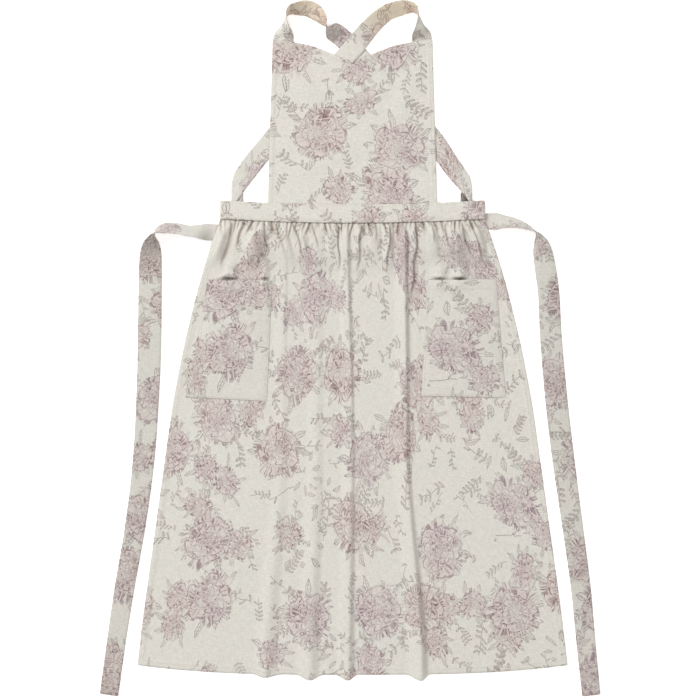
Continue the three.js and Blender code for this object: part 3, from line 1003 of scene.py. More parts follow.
@dataclass
class Waistband(ClothPiece):
    """The band across the waist, sewn over the bib and the gathered skirt."""

    half: float = 211.0
    height: float = 28.5
    middle_y: float = 216.2
    end_rise: float = 6.6
    seat_top: float = 5.6
    seat_low: float = 6.9
    end_drop: float = 1.5
    end_roll: float = 13.0
    thick: float = 3.0
    edge_thin: float = 0.4
    crown: float = 0.7
    groove_deep: float = 0.3
    groove_half: float = 0.05
    pucker: float = 0.22
    stitched: Pair = (0.1, 0.9)
    end_stitch: float = 0.006

    def low(self, x: Array) -> Array:
        """Gives the lower edge."""
        return self.middle_y + self.end_rise * ((x - MIDLINE) / self.half) ** 2 - self.height / 2

    def top(self, x: Array) -> Array:
        """Gives the upper edge."""
        return self.low(x) + self.height

    def place(self, u: Array, v: Array) -> tuple[Array, Array]:
        """Gives the band's two faces, crowned and a little puckered along its stitching.

        Args:
            u: Shares across.
            v: Shares down.

        Returns:
            The upper and the lower face.
        """
        x = MIDLINE + (2 * u - 1) * self.half
        y = mix(self.top(x), self.low(x), v)
        end = ease(self.half - self.end_roll, self.half, np.abs(x - MIDLINE))
        under = mix(self.seat_top, self.seat_low, v) - self.end_drop * end
        groove = sum(np.exp(-(((v - row) / self.groove_half) ** 2)) for row in self.stitched)
        pucker = self.pucker * np.sin(x / 2.6 + 1.7 * np.sin(x / 31)) * ease(0.0, 0.25, np.abs(v - 0.5) - 0.2)
        crown = self.crown * np.sin(math.pi * v) ** 0.7
        over = under + self.thick - self.edge_thin + crown - self.groove_deep * groove + pucker
        return faces_at(x, y, over, under)

    def seams(self) -> list[Array]:
        """Lists the topstitching along both edges and across the ends.

        Returns:
            The lines.
        """
        ends = (self.end_stitch, 1 - self.end_stitch)
        run, across = np.linspace(*ends, 400), np.linspace(*self.stitched, 40)
        return [self.line(run, row) for row in self.stitched] + [self.line(end, across) for end in ends]

    def cut(self) -> Triple:
        """Gives the band's flat size."""
        width, length = 2 * self.half * MM, self.height * MM
        return width, length, width * length


@dataclass
class Bib(ClothPiece):
    """The chest panel with its sweetheart top edge."""

    band: Optional[Waistband] = None
    half_top: float = 127.2
    half_low: float = 135.2
    top_y: float = 495.0
    tuck: float = 9.0
    base: float = 2.3
    seat_lift: float = 1.35
    crossing_lift: float = 2.4
    crossing_y: float = 455.0
    crossing_half: Pair = (75.0, 70.0)
    seat_y: Pair = (236.0, 300.0)
    thick: float = 1.6
    hem: float = 8.0
    hem_thick: float = 0.55
    pucker: float = 0.16
    calm_length: float = 74.0
    stitch_inset: float = 5.5
    stitch_tall: float = 260.0
    foot_y: float = 221.0
    cut_share: float = 0.93
    neckline: tuple[Pair, ...] = (
        (0, 453.4), (12, 461.5), (26, 468.5), (46, 477), (67, 484.3), (95, 490), (127.2, 495),
    )
    # Soft drag folds: x and y of both ends, half width and height
    folds: tuple[tuple[float, ...], ...] = (
        (-112, 478, -40, 380, 22, 2.3),
        (118, 470, 60, 330, 26, 1.9),
        (-120, 270, 30, 330, 24, 1.7),
    )

    def under_height(self, x: Array, y: Array) -> Array:
        """Gives the height of the underside over the straps and the surface.

        Args:
            x: Places across.
            y: Places up.

        Returns:
            The heights.
        """
        wide, tall = self.crossing_half
        crossing = np.exp(-(((x - MIDLINE) / wide) ** 2) - ((y - self.crossing_y) / tall) ** 2)
        height = self.base + self.crossing_lift * crossing + self.seat_lift * (1 - ease(*self.seat_y, y))
        return height + slanting_folds(self.folds, x, y)

    def place(self, u: Array, v: Array) -> tuple[Array, Array]:
        """Gives the bib's two faces, with a turned hem along its sides and top.

        Args:
            u: Shares across.
            v: Shares down.

        Returns:
            The upper and the lower face.
        """
        side = 2 * u - 1
        top_y = through(self.neckline, np.abs(side) * self.half_top)
        low_y = self.band.top(MIDLINE + side * self.half_low) - self.tuck
        y = mix(top_y, low_y, v)
        half = mix(self.half_low, self.half_top, np.clip((y - low_y) / (self.top_y - low_y), 0, 1))
        x = MIDLINE + side * half
        under = self.under_height(x, y)
        inset = np.minimum(half * (1 - np.abs(side)), top_y - y)
        hem = self.hem_thick * (1 - ease(self.hem - 1.5, self.hem + 1.0, inset))
        pucker = self.pucker * np.sin(y / 3.1 + x / 3.7) * (1 - ease(2.0, self.hem + 5, inset))
        calm = (ripple(x, y, self.calm_length) - 0.3) * ease(0.0, 26.0, inset) * ease(0.0, 0.1, 1 - v)
        over = under + self.thick + hem + pucker + calm
        return faces_at(x, y, over, under)

    def seams(self) -> list[Array]:
        """Lists the topstitching along the sides and the sweetheart edge.

        Returns:
            The lines.
        """
        inset_u, inset_v = self.stitch_inset / (2 * self.half_top), self.stitch_inset / self.stitch_tall
        run = np.linspace(inset_v, 0.97, 240)
        edge = np.linspace(inset_u, 1 - inset_u, 320)
        return [self.line(inset_u, run), self.line(1 - inset_u, run), self.line(edge, inset_v)]

    def cut(self) -> Triple:
        """Gives the bib's flat size."""
        width, length = 2 * self.half_low * MM, (self.top_y - self.foot_y) * MM
        return width, length, self.cut_share * width * length


class LongFold(NamedTuple):
    """A ridge from the waist seam to the hem: crest, flanks and heights in mm."""

    seam: float
    mid: float
    hem: float
    left: float
    right: float
    seam_high: float
    mid_high: float
    hem_high: float
    drop: float
    crisp: float = 0.36


class Crease(NamedTuple):
    """A narrow sharp fold that runs down from the seam."""

    seam: float
    end: float
    length: float
    half: float
    high: float


class MouthPuff(NamedTuple):
    """Where the skirt sags over a pocket's mouth, and how dark the painted shadow in its mouth is there."""

    x: float
    half: float
    high: float
    dark: float


class ShortFold(NamedTuple):
    """A fold or puff that fades out below the seam."""

    seam: float
    end: float
    length: float
    left: float
    right: float
    high: float


@dataclass
class Skirt(ClothPiece):
    """The wide skirt, gathered into the waistband, with folds that run out to the hem."""

    band: Optional[Waistband] = None
    tuck: float = 6.0
    seam_half: float = 209.6
    hem_half: float = 344.4
    hem_middle_y: float = -520.5
    hem_side_rise: float = 15.5
    seam_height: float = 2.95
    seam_end_height: float = 2.4
    seam_fade: Pair = (42.0, 84.0)
    end_fade: Pair = (182.0, 206.0)
    puff_height: float = 4.0
    gather_pitch: float = 10.5
    gather_height: float = 1.7
    gather_fan: float = 0.0013
    gather_reach: float = 30.0
    pleat_pitch: float = 8.4
    pleat_height: float = 4.2
    pleat_reach: Pair = (12.0, 34.0)
    pleat_raised: float = 0.8
    pleat_slant: float = 0.3
    # Painted shade in the notches between the gathers and at the foot of the creases, and painted shadow in
    # the pockets' mouths
    notch_shade: Triple = paint(176, 156, 141)[:3]
    mouth_shade: Triple = paint(92, 76, 66)[:3]
    thick: float = 1.6
    hem: float = 9.0
    hem_thick: float = 0.6
    pucker: float = 0.2
    calm_waves: tuple[Pair, ...] = ((0.9, 118.0), (0.5, 43.0))
    calm_rise: Pair = (60.0, 130.0)
    lowest: float = 0.1
    cloth_wide: float = 735.0
    cloth_long: float = 738.0
    fold_mid: float = 350.0
    fold_end: float = 725.0
    # Half widths at places up the skirt: y and half width
    side: tuple[Pair, ...] = (
        (-530, 346.5), (-411, 332), (-278, 313.5), (-145, 295), (-75, 284.5),
        (20, 265.5), (120, 240), (174, 222.5), (196, 214.6), (215, 209.6),
    )
    long_folds: tuple[LongFold, ...] = (
        LongFold(-104, -108, -136, 18, 22, 2, 1.6, 5.5, 5),
        LongFold(-51, -54, -64, 20, 18, 1.5, 2.6, 7, 8, 0.75),
        LongFold(-5, 2, -3, 18, 12, 6, 4.2, 8, 8, 0.5),
        LongFold(88, 90, 114, 22, 11, 8, 6.5, 10.5, 9),
    )
    short_folds: tuple[ShortFold, ...] = (
        ShortFold(-196, -222, 84, 14, 13, 9),
        ShortFold(-150, -158, 86, 23, 24, 13),
        ShortFold(-107, -90, 78, 12, 8, 4.5),
        ShortFold(-79, -66, 92, 10, 12, 3.5),
        ShortFold(-31, -29, 70, 10, 9, 3.5),
        ShortFold(37, 36, 62, 14, 16, 3),
        ShortFold(64, 62, 96, 12, 9, 4),
        ShortFold(128, 138, 74, 13, 14, 6),
        ShortFold(166, 170, 86, 20, 20, 12),
        ShortFold(200, 216, 82, 12, 12, 8),
    )

    # Cloth that sags over a pocket's mouth, and where the painted shadow in the mouth lies
    mouth_y: float = 111.0
    mouth_crest: float = 4.2
    mouth_flanks: Pair = (3.6, 36.0)
    slit_crest: float = 1.5
    slit_flanks: Pair = (4.0, 3.8)
    mouth_puffs: tuple[MouthPuff, ...] = (
        MouthPuff(-195, 20, 6.5, 0.8),
        MouthPuff(-136, 11, 5.5, 0.6),
        MouthPuff(143, 17, 6.0, 0.6),
        MouthPuff(175, 17, 6.0, 0.95),
    )
    # Rucks above the left pocket, and faint marks of how it was folded in store:
    # x and y of both ends, half width and height
    fold_marks: tuple[tuple[float, ...], ...] = (
        (-206, 142, -172, 124, 6.0, 3.5),
        (-158, 166, -126, 133, 5.0, 3.5),
        (-300, -349, -238, -352, 2.6, 0.9),
        (214, -196, 296, -200, 2.4, 0.6),
    )
    crease_wobble: Pair = (1.3, 8.5)
    crease_flanks: Pair = (2.8, 0.4)
    # Where the painted shade at the foot of a crease lies, as shares of its half width, and how strong it is
    crease_shade_band: Pair = (0.5, 0.6)
    crease_painted_shade: float = 0.5
    creases: tuple[Crease, ...] = (
        Crease(-188, -214, 96, 9, 4.0),
        Crease(-171, -186, 54, 5, 3.6),
        Crease(-140, -132, 60, 4, 2.6),
        Crease(-120, -104, 64, 4, 2.4),
        Crease(-93, -74, 66, 5, 4.0),
        Crease(-62, -52, 48, 4, 2.4),
        Crease(-21, -18, 86, 4, 4.0),
        Crease(17, 10, 88, 4, 4.0),
        Crease(40, 40, 34, 4, 2.4),
        Crease(64, 56, 92, 4, 4.2),
        Crease(107, 94, 150, 5, 4.5),
        Crease(128, 134, 40, 4, 2.4),
        Crease(150, 158, 60, 4, 2.6),
        Crease(173.6, 192.4, 62, 4, 3.6),
        Crease(189.3, 218.5, 88, 5, 4.0),
    )

    def down(self) -> Array:
        """Puts the rows close together in the gathers."""
        stops = ((0.0, 0.03, 22), (0.03, 0.09, 22), (0.09, 0.16, 24), (0.16, 0.97, 56), (0.97, 1.0, 7))
        return steps_between(stops)

    def long_fold(self, fold: LongFold, x: Array, below: Array) -> Array:
        """Gives the height of one long fold.

        Args:
            fold: The fold.
            x: Places across.
            below: Distances below the seam.

        Returns:
            The heights.
        """
        upper, lower = ease(0, self.fold_mid, below), ease(self.fold_mid, self.fold_end, below)
        high_up = below < self.fold_mid
        crest = np.where(high_up, mix(fold.seam, fold.mid, upper), mix(fold.mid, fold.hem, lower))
        to_mid, to_hem = mix(fold.seam_high, fold.mid_high, upper), mix(fold.mid_high, fold.hem_high, lower)
        high = np.where(high_up, to_mid, to_hem)
        spread = mix(0.85, 1.2, np.clip(below / self.fold_end, 0, 1))
        crisp = mix(fold.crisp, 0.8, ease(150, 700, below))
        return high * ease(-4, 26, below) * ridge(x - crest, fold.left * spread, fold.right * spread * crisp)

    def short_fold(self, fold: ShortFold, x: Array, below: Array) -> Array:
        """Gives the height of one short fold.

        Args:
            fold: The fold.
            x: Places across.
            below: Distances below the seam.

        Returns:
            The heights.
        """
        t = below / fold.length
        rise = ease(0, 0.3, t) * (1 - ease(0.45, 1, t))
        return fold.high * rise * ridge(x - mix(fold.seam, fold.end, t), fold.left, fold.right)

    def crease(self, line: Crease, x: Array, below: Array) -> tuple[Array, Array]:
        """Gives one crease, which is steep on its right.

        Args:
            line: The crease.
            x: Places across.
            below: Distances below the seam.

        Returns:
            Its height, and the mask of painted shade at the foot of its steep side, from 0 to 1.
        """
        t = below / line.length
        sway, wave = self.crease_wobble
        offset = x - mix(line.seam, line.end, t) + sway * np.sin(below / wave + line.seam)
        rise = ease(0, 0.1, t) * (1 - ease(0.55, 1, t))
        left, right = (flank * line.half for flank in self.crease_flanks)
        foot, half = (share * line.half for share in self.crease_shade_band)
        return line.high * rise * ridge(offset, left, right), rise * ridge(offset - foot, half, half)

    def mouth_puff(self, puff: MouthPuff, x: Array, y: Array) -> Array:
        """Gives the height of the sag over a pocket's mouth, which ends steeply at the mouth."""
        rise = ridge(y - self.mouth_y - self.mouth_crest, *self.mouth_flanks)
        return puff.high * rise * ridge(x - puff.x, puff.half, puff.half)

    def notches(self, x: Array, below: Array) -> Array:
        """Gives how deep between two fine pleats a place is; they are narrow, uneven and slant.

        Args:
            x: Places across.
            below: Distances below the seam.

        Returns:
            The depth, from 0 to 1.
        """
        x = x + self.pleat_slant * np.clip(below, 0, self.pleat_reach[1]) * np.sin(x / 13 + 1.2)
        phase = x / self.pleat_pitch + 0.4 * np.sin(x / 14) + 0.2 * np.sin(x / 5.3 + 1)
        luck = 0.5 + 0.5 * np.sin(x / 4.1 + 2 * np.sin(x / 37))
        fade = ease(-1, 2, below) * (1 - ease(0.25, 1.0, below / mix(*self.pleat_reach, luck)))
        return fade * mix(0.4, 1.0, luck) * (1 - np.abs(np.sin(math.pi * phase))) ** 1.4

    def gathers(self, x: Array, below: Array) -> Array:
        """Gives the small uneven pleats below the seam, round on top and pinched between.

        Args:
            x: Places across.
            below: Distances below the seam.

        Returns:
            The heights.
        """
        x = MIDLINE + (x - MIDLINE) / (1 + self.gather_fan * np.maximum(below, 0))
        phase = x / self.gather_pitch + 0.34 * np.sin(x / 23) + 0.22 * np.sin(x / 9.5 + 1)
        reach = self.gather_reach + 13 * np.sin(x / 17 + 0.6) + 9 * np.sin(x / 6.3)
        strength = mix(0.45, 1.0, ease(-4, 7, below)) * (1 - ease(0.25, 1.25, below / reach))
        raised = self.pleat_raised * ease(-0.5, 3.5, below) * (1 - ease(5, self.pleat_reach[1], below))
        pleats = self.pleat_height * (raised - self.notches(x, below))
        return self.gather_height * strength * np.abs(np.sin(math.pi * phase)) ** 0.8 + pleats

    def under_height(self, x: Array, y: Array) -> Array:
        """Gives the height of the underside over the surface.

        Args:
            x: Places across.
            y: Places up.

        Returns:
            The heights.
        """
        below = self.band.low(x) - y
        inside = 1 - ease(*self.end_fade, np.abs(x - MIDLINE))
        seam = mix(self.seam_end_height, self.seam_height, inside) * (1 - ease(*self.seam_fade, below))
        full = self.puff_height * inside * ease(0, 30, below) * (1 - ease(34, 88, below))
        height = seam + full + self.gathers(x, below) * inside
        for short in self.short_folds:
            height = height + self.short_fold(short, x, below)
        for long in self.long_folds:
            height = height + self.long_fold(long, x, below)
        for line in self.creases:
            height = height + self.crease(line, x, below)[0]
        for puff in self.mouth_puffs:
            height = height + self.mouth_puff(puff, x, y)
        calm = sum(high * ripple(x, y, length) for high, length in self.calm_waves)
        height = height + calm * ease(*self.calm_rise, below) + slanting_folds(self.fold_marks, x, y)
        return np.maximum(height, self.lowest)

    def over_height(self, x: Array, y: Array) -> Array:
        """Gives the height of the upper face, without its hems."""
        return self.under_height(x, y) + self.thick

    def hem_edge(self, x: Array) -> Array:
        """Gives the lower edge, which dips where a fold comes out.

        Args:
            x: Places across.

        Returns:
            Its places up.
        """
        y = self.hem_middle_y + self.hem_side_rise * (np.abs(x - MIDLINE) / self.hem_half) ** 3
        for fold in self.long_folds:
            y = y - fold.drop * ridge(x - fold.hem, fold.left * 1.2, fold.right * 1.35)
        return y

    def place(self, u: Array, v: Array) -> tuple[Array, Array]:
        """Gives the skirt's two faces, with narrow turned hems at its sides and foot.

        Args:
            u: Shares across.
            v: Shares down.

        Returns:
            The upper and the lower face.
        """
        side = 2 * u - 1
        foot = self.hem_edge(MIDLINE + side * self.hem_half)
        y = mix(self.band.low(MIDLINE + side * self.seam_half) + self.tuck, foot, v)
        half = through(self.side, y)
        x = MIDLINE + side * half
        under = self.under_height(x, y)
        below = self.band.low(x) - y
        inset = np.minimum(half * (1 - np.abs(side)), y - foot)
        hem = self.hem_thick * (1 - ease(self.hem - 1.0, self.hem + 2.5, inset))
        pucker = self.pucker * np.sin(x / 4.2 + y / 5.1) * (1 - ease(2.0, self.hem + 4, inset))
        over = under + self.thick + (hem + pucker) * ease(4, 20, below)
        return faces_at(x, y, over, under)

    def tints(self, over: Array, v: Array) -> tuple[Array, Array]:
        """Paints shade on the upper face: in the gathers' notches, at the foot of the creases, and as dark
        shadow in the pockets' mouths.

        Args:
            over: The upper face.
            v: Shares down; not used here.

        Returns:
            The tints of the upper and of the lower face.
        """
        x = over[..., 0]
        below = self.band.low(x) - over[..., 1]
        spread = MIDLINE + (x - MIDLINE) / (1 + self.gather_fan * np.maximum(below, 0))
        # Mask of painted shade: the gathers' notches and the foot of the creases
        deep = self.notches(spread, below)
        for line in self.creases:
            deep = np.maximum(deep, self.crease_painted_shade * self.crease(line, x, below)[1])
        shaded = mix(np.ones_like(over), np.array(self.notch_shade), deep[..., None])
        # Painted shadow along the pockets' mouths
        mouth = ridge(over[..., 1] - self.mouth_y - self.slit_crest, *self.slit_flanks)
        for puff in self.mouth_puffs:
            slit = puff.dark * mouth * ridge(x - puff.x, puff.half, puff.half)
            shaded = mix(shaded, np.array(self.mouth_shade), slit[..., None])
        return shaded, np.ones_like(over)

    def flat(self, over: Array) -> Array:
        """Gives each point's place on the flat cloth: threads run from the seam to the hem.

        Args:
            over: The upper face.

        Returns:
            Places on the flat cloth.
        """
        along_hem = np.linalg.norm(np.diff(over[-1], axis=0), axis=1)
        across = np.concatenate([[0.0], np.cumsum(along_hem)])
        steps = np.linalg.norm(np.diff(over, axis=0), axis=2)
        drop = np.concatenate([np.zeros((1, over.shape[1])), np.cumsum(steps, axis=0)])
        flat = np.stack([np.broadcast_to(across - across.mean(), drop.shape), -drop], -1)
        return flat + np.array(self.shift)

    def seams(self) -> list[Array]:
        """Lists the stitching of the hem and of both side hems.

        Returns:
            The lines.
        """
        sides = (0.011, 0.989)
        run, foot = np.linspace(0.03, 0.988, 420), np.linspace(*sides, 620)
        return [self.line(side, run) for side in sides] + [self.line(foot, 0.9895)]

    def cut(self) -> Triple:
        """Gives the flat size of the skirt's cloth."""
        width, length = self.cloth_wide * MM, self.cloth_long * MM
        return width, length, width * length


@dataclass
class PatchPocket(ClothPiece):
    """A patch pocket on the skirt, open at its mouth."""

    skirt: Optional[Skirt] = None
    corners: tuple[Pair, ...] = ()
    gapes: tuple[Triple, ...] = ()
    fullness: float = 3.0
    thick: float = 1.3
    side_thin: float = 0.4
    foot_thin: float = 0.75
    hem: float = 15.0
    hem_thick: float = 0.2
    pucker: float = 0.16
    mouth_dip: float = 0.45
    tall: float = 190.0
    tone: float = 0.965

    def place(self, u: Array, v: Array) -> tuple[Array, Array]:
        """Gives the pocket's two faces over the skirt, full at its mouth.

        Args:
            u: Shares across.
            v: Shares down.

        Returns:
            The upper and the lower face.
        """
        mouth_left, mouth_right, foot_left, foot_right = (np.array(c) for c in self.corners)
        mouth = mix(mouth_left, mouth_right, u[..., None])
        foot = mix(foot_left, foot_right, u[..., None])
        x, y = np.moveaxis(mix(mouth, foot, v[..., None]), -1, 0)
        near = 1 - ease(0.0, 0.16, v)
        lift = np.zeros_like(u)
        for at, half, high in self.gapes:
            lift = lift + high * np.exp(-(((u - at) / half) ** 2)) * near
        y = y - self.mouth_dip * lift * near
        full = self.fullness * np.sin(math.pi * np.clip(u, 0, 1)) ** 1.2 * (1 - ease(0.3, 0.95, v))
        under = self.skirt.over_height(x, y) + GAP + full + lift
        deep = np.linalg.norm(foot - mouth, axis=-1)
        from_side = np.minimum(u, 1 - u) * np.linalg.norm(mouth_right - mouth_left)
        from_foot = (1 - v) * deep
        inset = np.minimum(from_side, from_foot)
        pucker = self.pucker * np.sin(x / 3.3 + y / 3.9) * (1 - ease(1.0, 9.0, inset))
        turned = 1 - ease(self.hem - 1.0, self.hem + 1.0, v * deep)
        turned = self.hem_thick * turned * ease(0.0, 8.0, from_side)
        thick = mix(self.side_thin, self.thick, ease(0.0, 9.0, from_side))
        thick = thick * mix(self.foot_thin, 1.0, ease(0.0, 7.0, from_foot))
        over = under + thick + turned + pucker * ease(0.0, 3.0, from_side)
        return faces_at(x, y, over, under)

    def tints(self, over: Array, v: Array) -> tuple[Array, Array]:
        """Makes the pocket a little darker than the skirt."""
        return np.full_like(over, self.tone), np.full_like(over, self.tone)

    def seams(self) -> list[Array]:
        """Lists the stitching round three sides and across the mouth's hem.

        Returns:
            The lines.
        """
        sides, foot = (0.025, 0.975), 0.985
        run, across = np.linspace(0.01, foot, 200), np.linspace(*sides, 140)
        levels = (foot, self.hem / self.tall)
        return [self.line(side, run) for side in sides] + [self.line(across, level) for level in levels]

    def cut(self) -> Triple:
        """Gives the pocket's flat size.

        Returns:
            Width, length and area in metres.
        """
        mouth_left, mouth_right, foot_left, foot_right = (np.array(c) for c in self.corners)
        top, low = np.linalg.norm(mouth_right - mouth_left), np.linalg.norm(foot_right - foot_left)
        width, length = max(top, low) * MM, (mouth_left[1] - foot_left[1]) * MM
        return float(width), float(length), float((top + low) / 2 * MM * length)


class Row(NamedTuple):
    """One place along a strap or tie: its middle, its roll, its lift, its width and its slant."""

    x: float
    y: float
    roll: float
    lift: float = 0.0
    width: float = 31.0
    slant: float = 0.0


class FoldedEnd(NamedTuple):
    """Where a shoulder strap folds under at the waistband."""

    edge: float
    side: int


class Sections(NamedTuple):
    """Cross-sections along a ribbon: middles, half-width vectors and face normals."""

    middle: Array
    half: Array
    normal: Array


@dataclass
class Ribbon(ClothPiece):
    """A strap or tie of doubled cloth that lies, rolls and turns over along its rows."""

    path: tuple[Row, ...] = ()
    fold: Optional[FoldedEnd] = None
    steps: int = 11
    thick: float = 2.0
    fold_radius: float = 1.6
    fold_return: float = 16.0
    corner_reach: float = 11.0
    corner_round: float = 5.0
    inset: float = 0.8
    groove_half: float = 0.07
    groove_deep: float = 0.2
    edge_thin: float = 0.3
    wave_high: float = 0.14
    wave_long: float = 2.9
    # Painted warm shade inside a shoulder loop where the strap stands up, painted shadow inside its folded
    # end with the rows where it starts, is full and fades, and an even darker tone for a tie
    warm_shade_rolls: Pair = (60.0, 105.0)
    warm_shade_ends: Pair = (138.0, 172.0)
    loop_warm_shade: Triple = (1.1, 1.0, 0.87)
    fold_shade: Triple = (0.1, 0.08, 0.07)
    fold_shade_rows: tuple[int, int, int] = (12, 8, 4)
    fold_shade_fade: float = 0.35
    tie_tone: float = 0.9

    def smooth_path(self, at: Array) -> Array:
        """Gives points on a centripetal curve through the rows.

        Args:
            at: Places, counted in rows.

        Returns:
            Points in the plane of the surface.
        """
        p = np.array([(r.x, r.y) for r in self.path], float)
        p = np.concatenate([[2 * p[0] - p[1]], p, [2 * p[-1] - p[-2]]])
        i = np.clip(np.floor(at).astype(int), 0, len(self.path) - 2)
        w = (at - i)[:, None]
        p0, p1, p2, p3 = p[i], p[i + 1], p[i + 2], p[i + 3]
        spans = (p1 - p0, p2 - p1, p3 - p2)
        d0, d1, d2 = (np.sqrt(np.linalg.norm(span, axis=1))[:, None] for span in spans)
        m1 = ((p1 - p0) / d0 - (p2 - p0) / (d0 + d1) + (p2 - p1) / d1) * d1
        m2 = ((p2 - p1) / d1 - (p3 - p1) / (d1 + d2) + (p3 - p2) / d2) * d1
        a, b = 2 * p1 - 2 * p2 + m1 + m2, -3 * p1 + 3 * p2 - 2 * m1 - m2
        return ((a * w + b) * w + m1) * w + p1

    def column(self, name: str, at: Array) -> Array:
        """Reads one column of the rows between them.

        Args:
            name: The column.
            at: Places, counted in rows.

        Returns:
            Its values there.
        """
        if name in ("roll", "width"):
            return through([(k, getattr(r, name)) for k, r in enumerate(self.path)], at)
        return np.interp(at, np.arange(len(self.path)), [getattr(r, name) for r in self.path])

    def sections(self) -> Sections:
        """Gives the cross-sections along the ribbon, with its folded end if it has one.

        Returns:
            The cross-sections.
        """
        count = (len(self.path) - 1) * self.steps + 1
        at = np.linspace(0, len(self.path) - 1, count)
        middle = np.zeros((count, 3))
        middle[:, :2] = self.smooth_path(at)
        step = 1e-3
        ahead = self.smooth_path(np.minimum(at + step, at[-1])) - self.smooth_path(np.maximum(at - step, 0))
        heading = np.zeros((count, 3))
        heading[:, :2] = ahead / np.linalg.norm(ahead, axis=1, keepdims=True)
        roll = np.radians(self.column("roll", at))
        width = self.column("width", at)
        aside = np.stack([-heading[:, 1], heading[:, 0], np.zeros(count)], 1)
        across = aside * np.cos(roll)[:, None] + np.array([0.0, 0.0, 1.0]) * np.sin(roll)[:, None]
        normal = np.cross(heading, across)
        slant = self.column("slant", at)
        sideways = np.where(np.abs(heading[:, 0]) > 1e-6, heading[:, 0], 1)
        lean = np.where(slant > 0, -slant * across[:, 0] / sideways, 0)
        half = (across + heading * lean[:, None]) * (width / 2)[:, None]
        reach = width / 2 * np.abs(np.sin(roll)) + self.thick / 2 * np.abs(np.cos(roll))
        middle[:, 2] = self.column("lift", at) + reach
        if self.fold is None:
            return Sections(middle, half, normal)
        end = self.folded_end(self.fold)
        return Sections(*(np.concatenate([a, b]) for a, b in zip((middle, half, normal), end)))

    def folded_end(self, fold: FoldedEnd) -> Sections:
        """Folds the strap under at its side edge and back below the waistband.

        Args:
            fold: The place and side of the fold.

        Returns:
            The cross-sections of the turn and of the part that goes back.
        """
        before, last = self.path[-2], self.path[-1]
        run = np.array([last.x - before.x, last.y - before.y])
        run = run / np.linalg.norm(run)
        fall = run[1] / abs(run[0])
        facing = math.cos(math.radians(last.roll))
        half = np.array([0.0, fold.side * facing * last.width / 2 / abs(run[0]), 0.0])
        axis_x = fold.edge - fold.side * (self.fold_radius + self.thick / 2)
        start_y = last.y + fall * abs(axis_x - last.x)
        turn = np.linspace(0, math.pi, 13)
        middle = np.stack([
            axis_x + fold.side * self.fold_radius * np.sin(turn),
            start_y + fall * self.fold_radius * turn,
            self.thick / 2 + self.fold_radius * (1 + np.cos(turn)),
        ], 1)
        normal = np.stack([fold.side * np.sin(turn), 0 * turn, np.cos(turn)], 1) * facing
        back_run = np.linspace(0, 1, 6)[1:, None]
        back = middle[-1] + back_run * np.array([-fold.side, fall, 0.0]) * self.fold_return
        middle = np.concatenate([middle, back])
        normal = np.concatenate([normal, np.repeat([[0.0, 0.0, -facing]], len(back), axis=0)])
        return Sections(middle, np.repeat([half], len(middle), axis=0), normal)

    def place(self, u: Array, v: Array) -> tuple[Array, Array]:
        """Gives the ribbon's two faces, thin at its edges and a little uneven.

        Args:
            u: Shares across.
            v: Shares down.

        Returns:
            The upper and the lower face.
        """
        sections = self.sections()
        count = len(sections.middle)
        at = np.clip(v, 0, 1) * (count - 1)
        low = np.clip(np.floor(at).astype(int), 0, count - 2)
        share = (at - low)[..., None]
        middle, half, normal = (mix(s[low], s[low + 1], share) for s in sections)
        normal = normal / np.linalg.norm(normal, axis=-1, keepdims=True)
        across = 2 * u - 1
        groove = np.exp(-(((np.abs(across) - self.inset) / self.groove_half) ** 2))
        swell = self.thick / 2 * (1 - self.edge_thin * np.abs(across) ** 6) - self.groove_deep * groove
        run = middle[..., 0] + 1.3 * middle[..., 1]
        wave = self.wave_high * np.sin(run / self.wave_long + 3 * across) * np.abs(across) ** 3
        centre = middle + half * across[..., None]
        if self.fold is not None:
            centre = self.rounded_corner(sections, centre)
        return centre + normal * (swell + wave)[..., None], centre - normal * (swell - wave)[..., None]

    def rounded_corner(self, sections: Sections, centre: Array) -> Array:
        """Rounds the outer corner where a strap folds under.

        Args:
            sections: The strap's cross-sections.
            centre: Points on its middle face.

        Returns:
            The points, drawn in round that corner.
        """
        turn = (len(self.path) - 1) * self.steps + 1
        reach = sections.half[turn]
        corner = sections.middle[turn] + reach * np.sign(reach[1])
        inward = sections.middle[turn - 2 * self.steps] - corner
        inward = np.array([inward[0], inward[1], 0.0]) / np.hypot(inward[0], inward[1])
        near = np.hypot(centre[..., 0] - corner[0], centre[..., 1] - corner[1]) / self.corner_reach
        return centre + self.corner_round * np.exp(-(near**2))[..., None] * inward

    def down(self) -> Array:
        """Puts one row at each cross-section."""
        return np.linspace(0.0, 1.0, len(self.sections().middle))

    def tints(self, over: Array, v: Array) -> tuple[Array, Array]:
        """Paints warm shade inside a shoulder loop and dark shadow inside a folded end, and makes a tie
        evenly darker.

        Args:
            over: The upper face.
            v: Shares down.

        Returns:
            The tints of the upper and of the lower face.
        """
        if self.fold is None:
            return np.full_like(over, self.tie_tone), np.full_like(over, self.tie_tone)
        plain = np.ones_like(over)
        last = len(self.sections().middle) - 1
        roll = np.abs(self.column("roll", np.minimum(v * last / self.steps, len(self.path) - 1)))
        # Painted warm shade inside the loop, where the strap stands on its edge or turns over
        inside = ease(*self.warm_shade_rolls, roll) * (1 - ease(*self.warm_shade_ends, roll))
        warm_shaded = mix(plain, np.array(self.loop_warm_shade), inside[..., None])
        # Painted shadow inside the folded end, a little lighter along the part that goes back
        start, full, fade = (last - rows for rows in self.fold_shade_rows)
        folded = ease(start, full, v * last) * (1 - self.fold_shade_fade * ease(fade, last, v * last))
        return plain, mix(warm_shaded, np.array(self.fold_shade), folded[..., None])

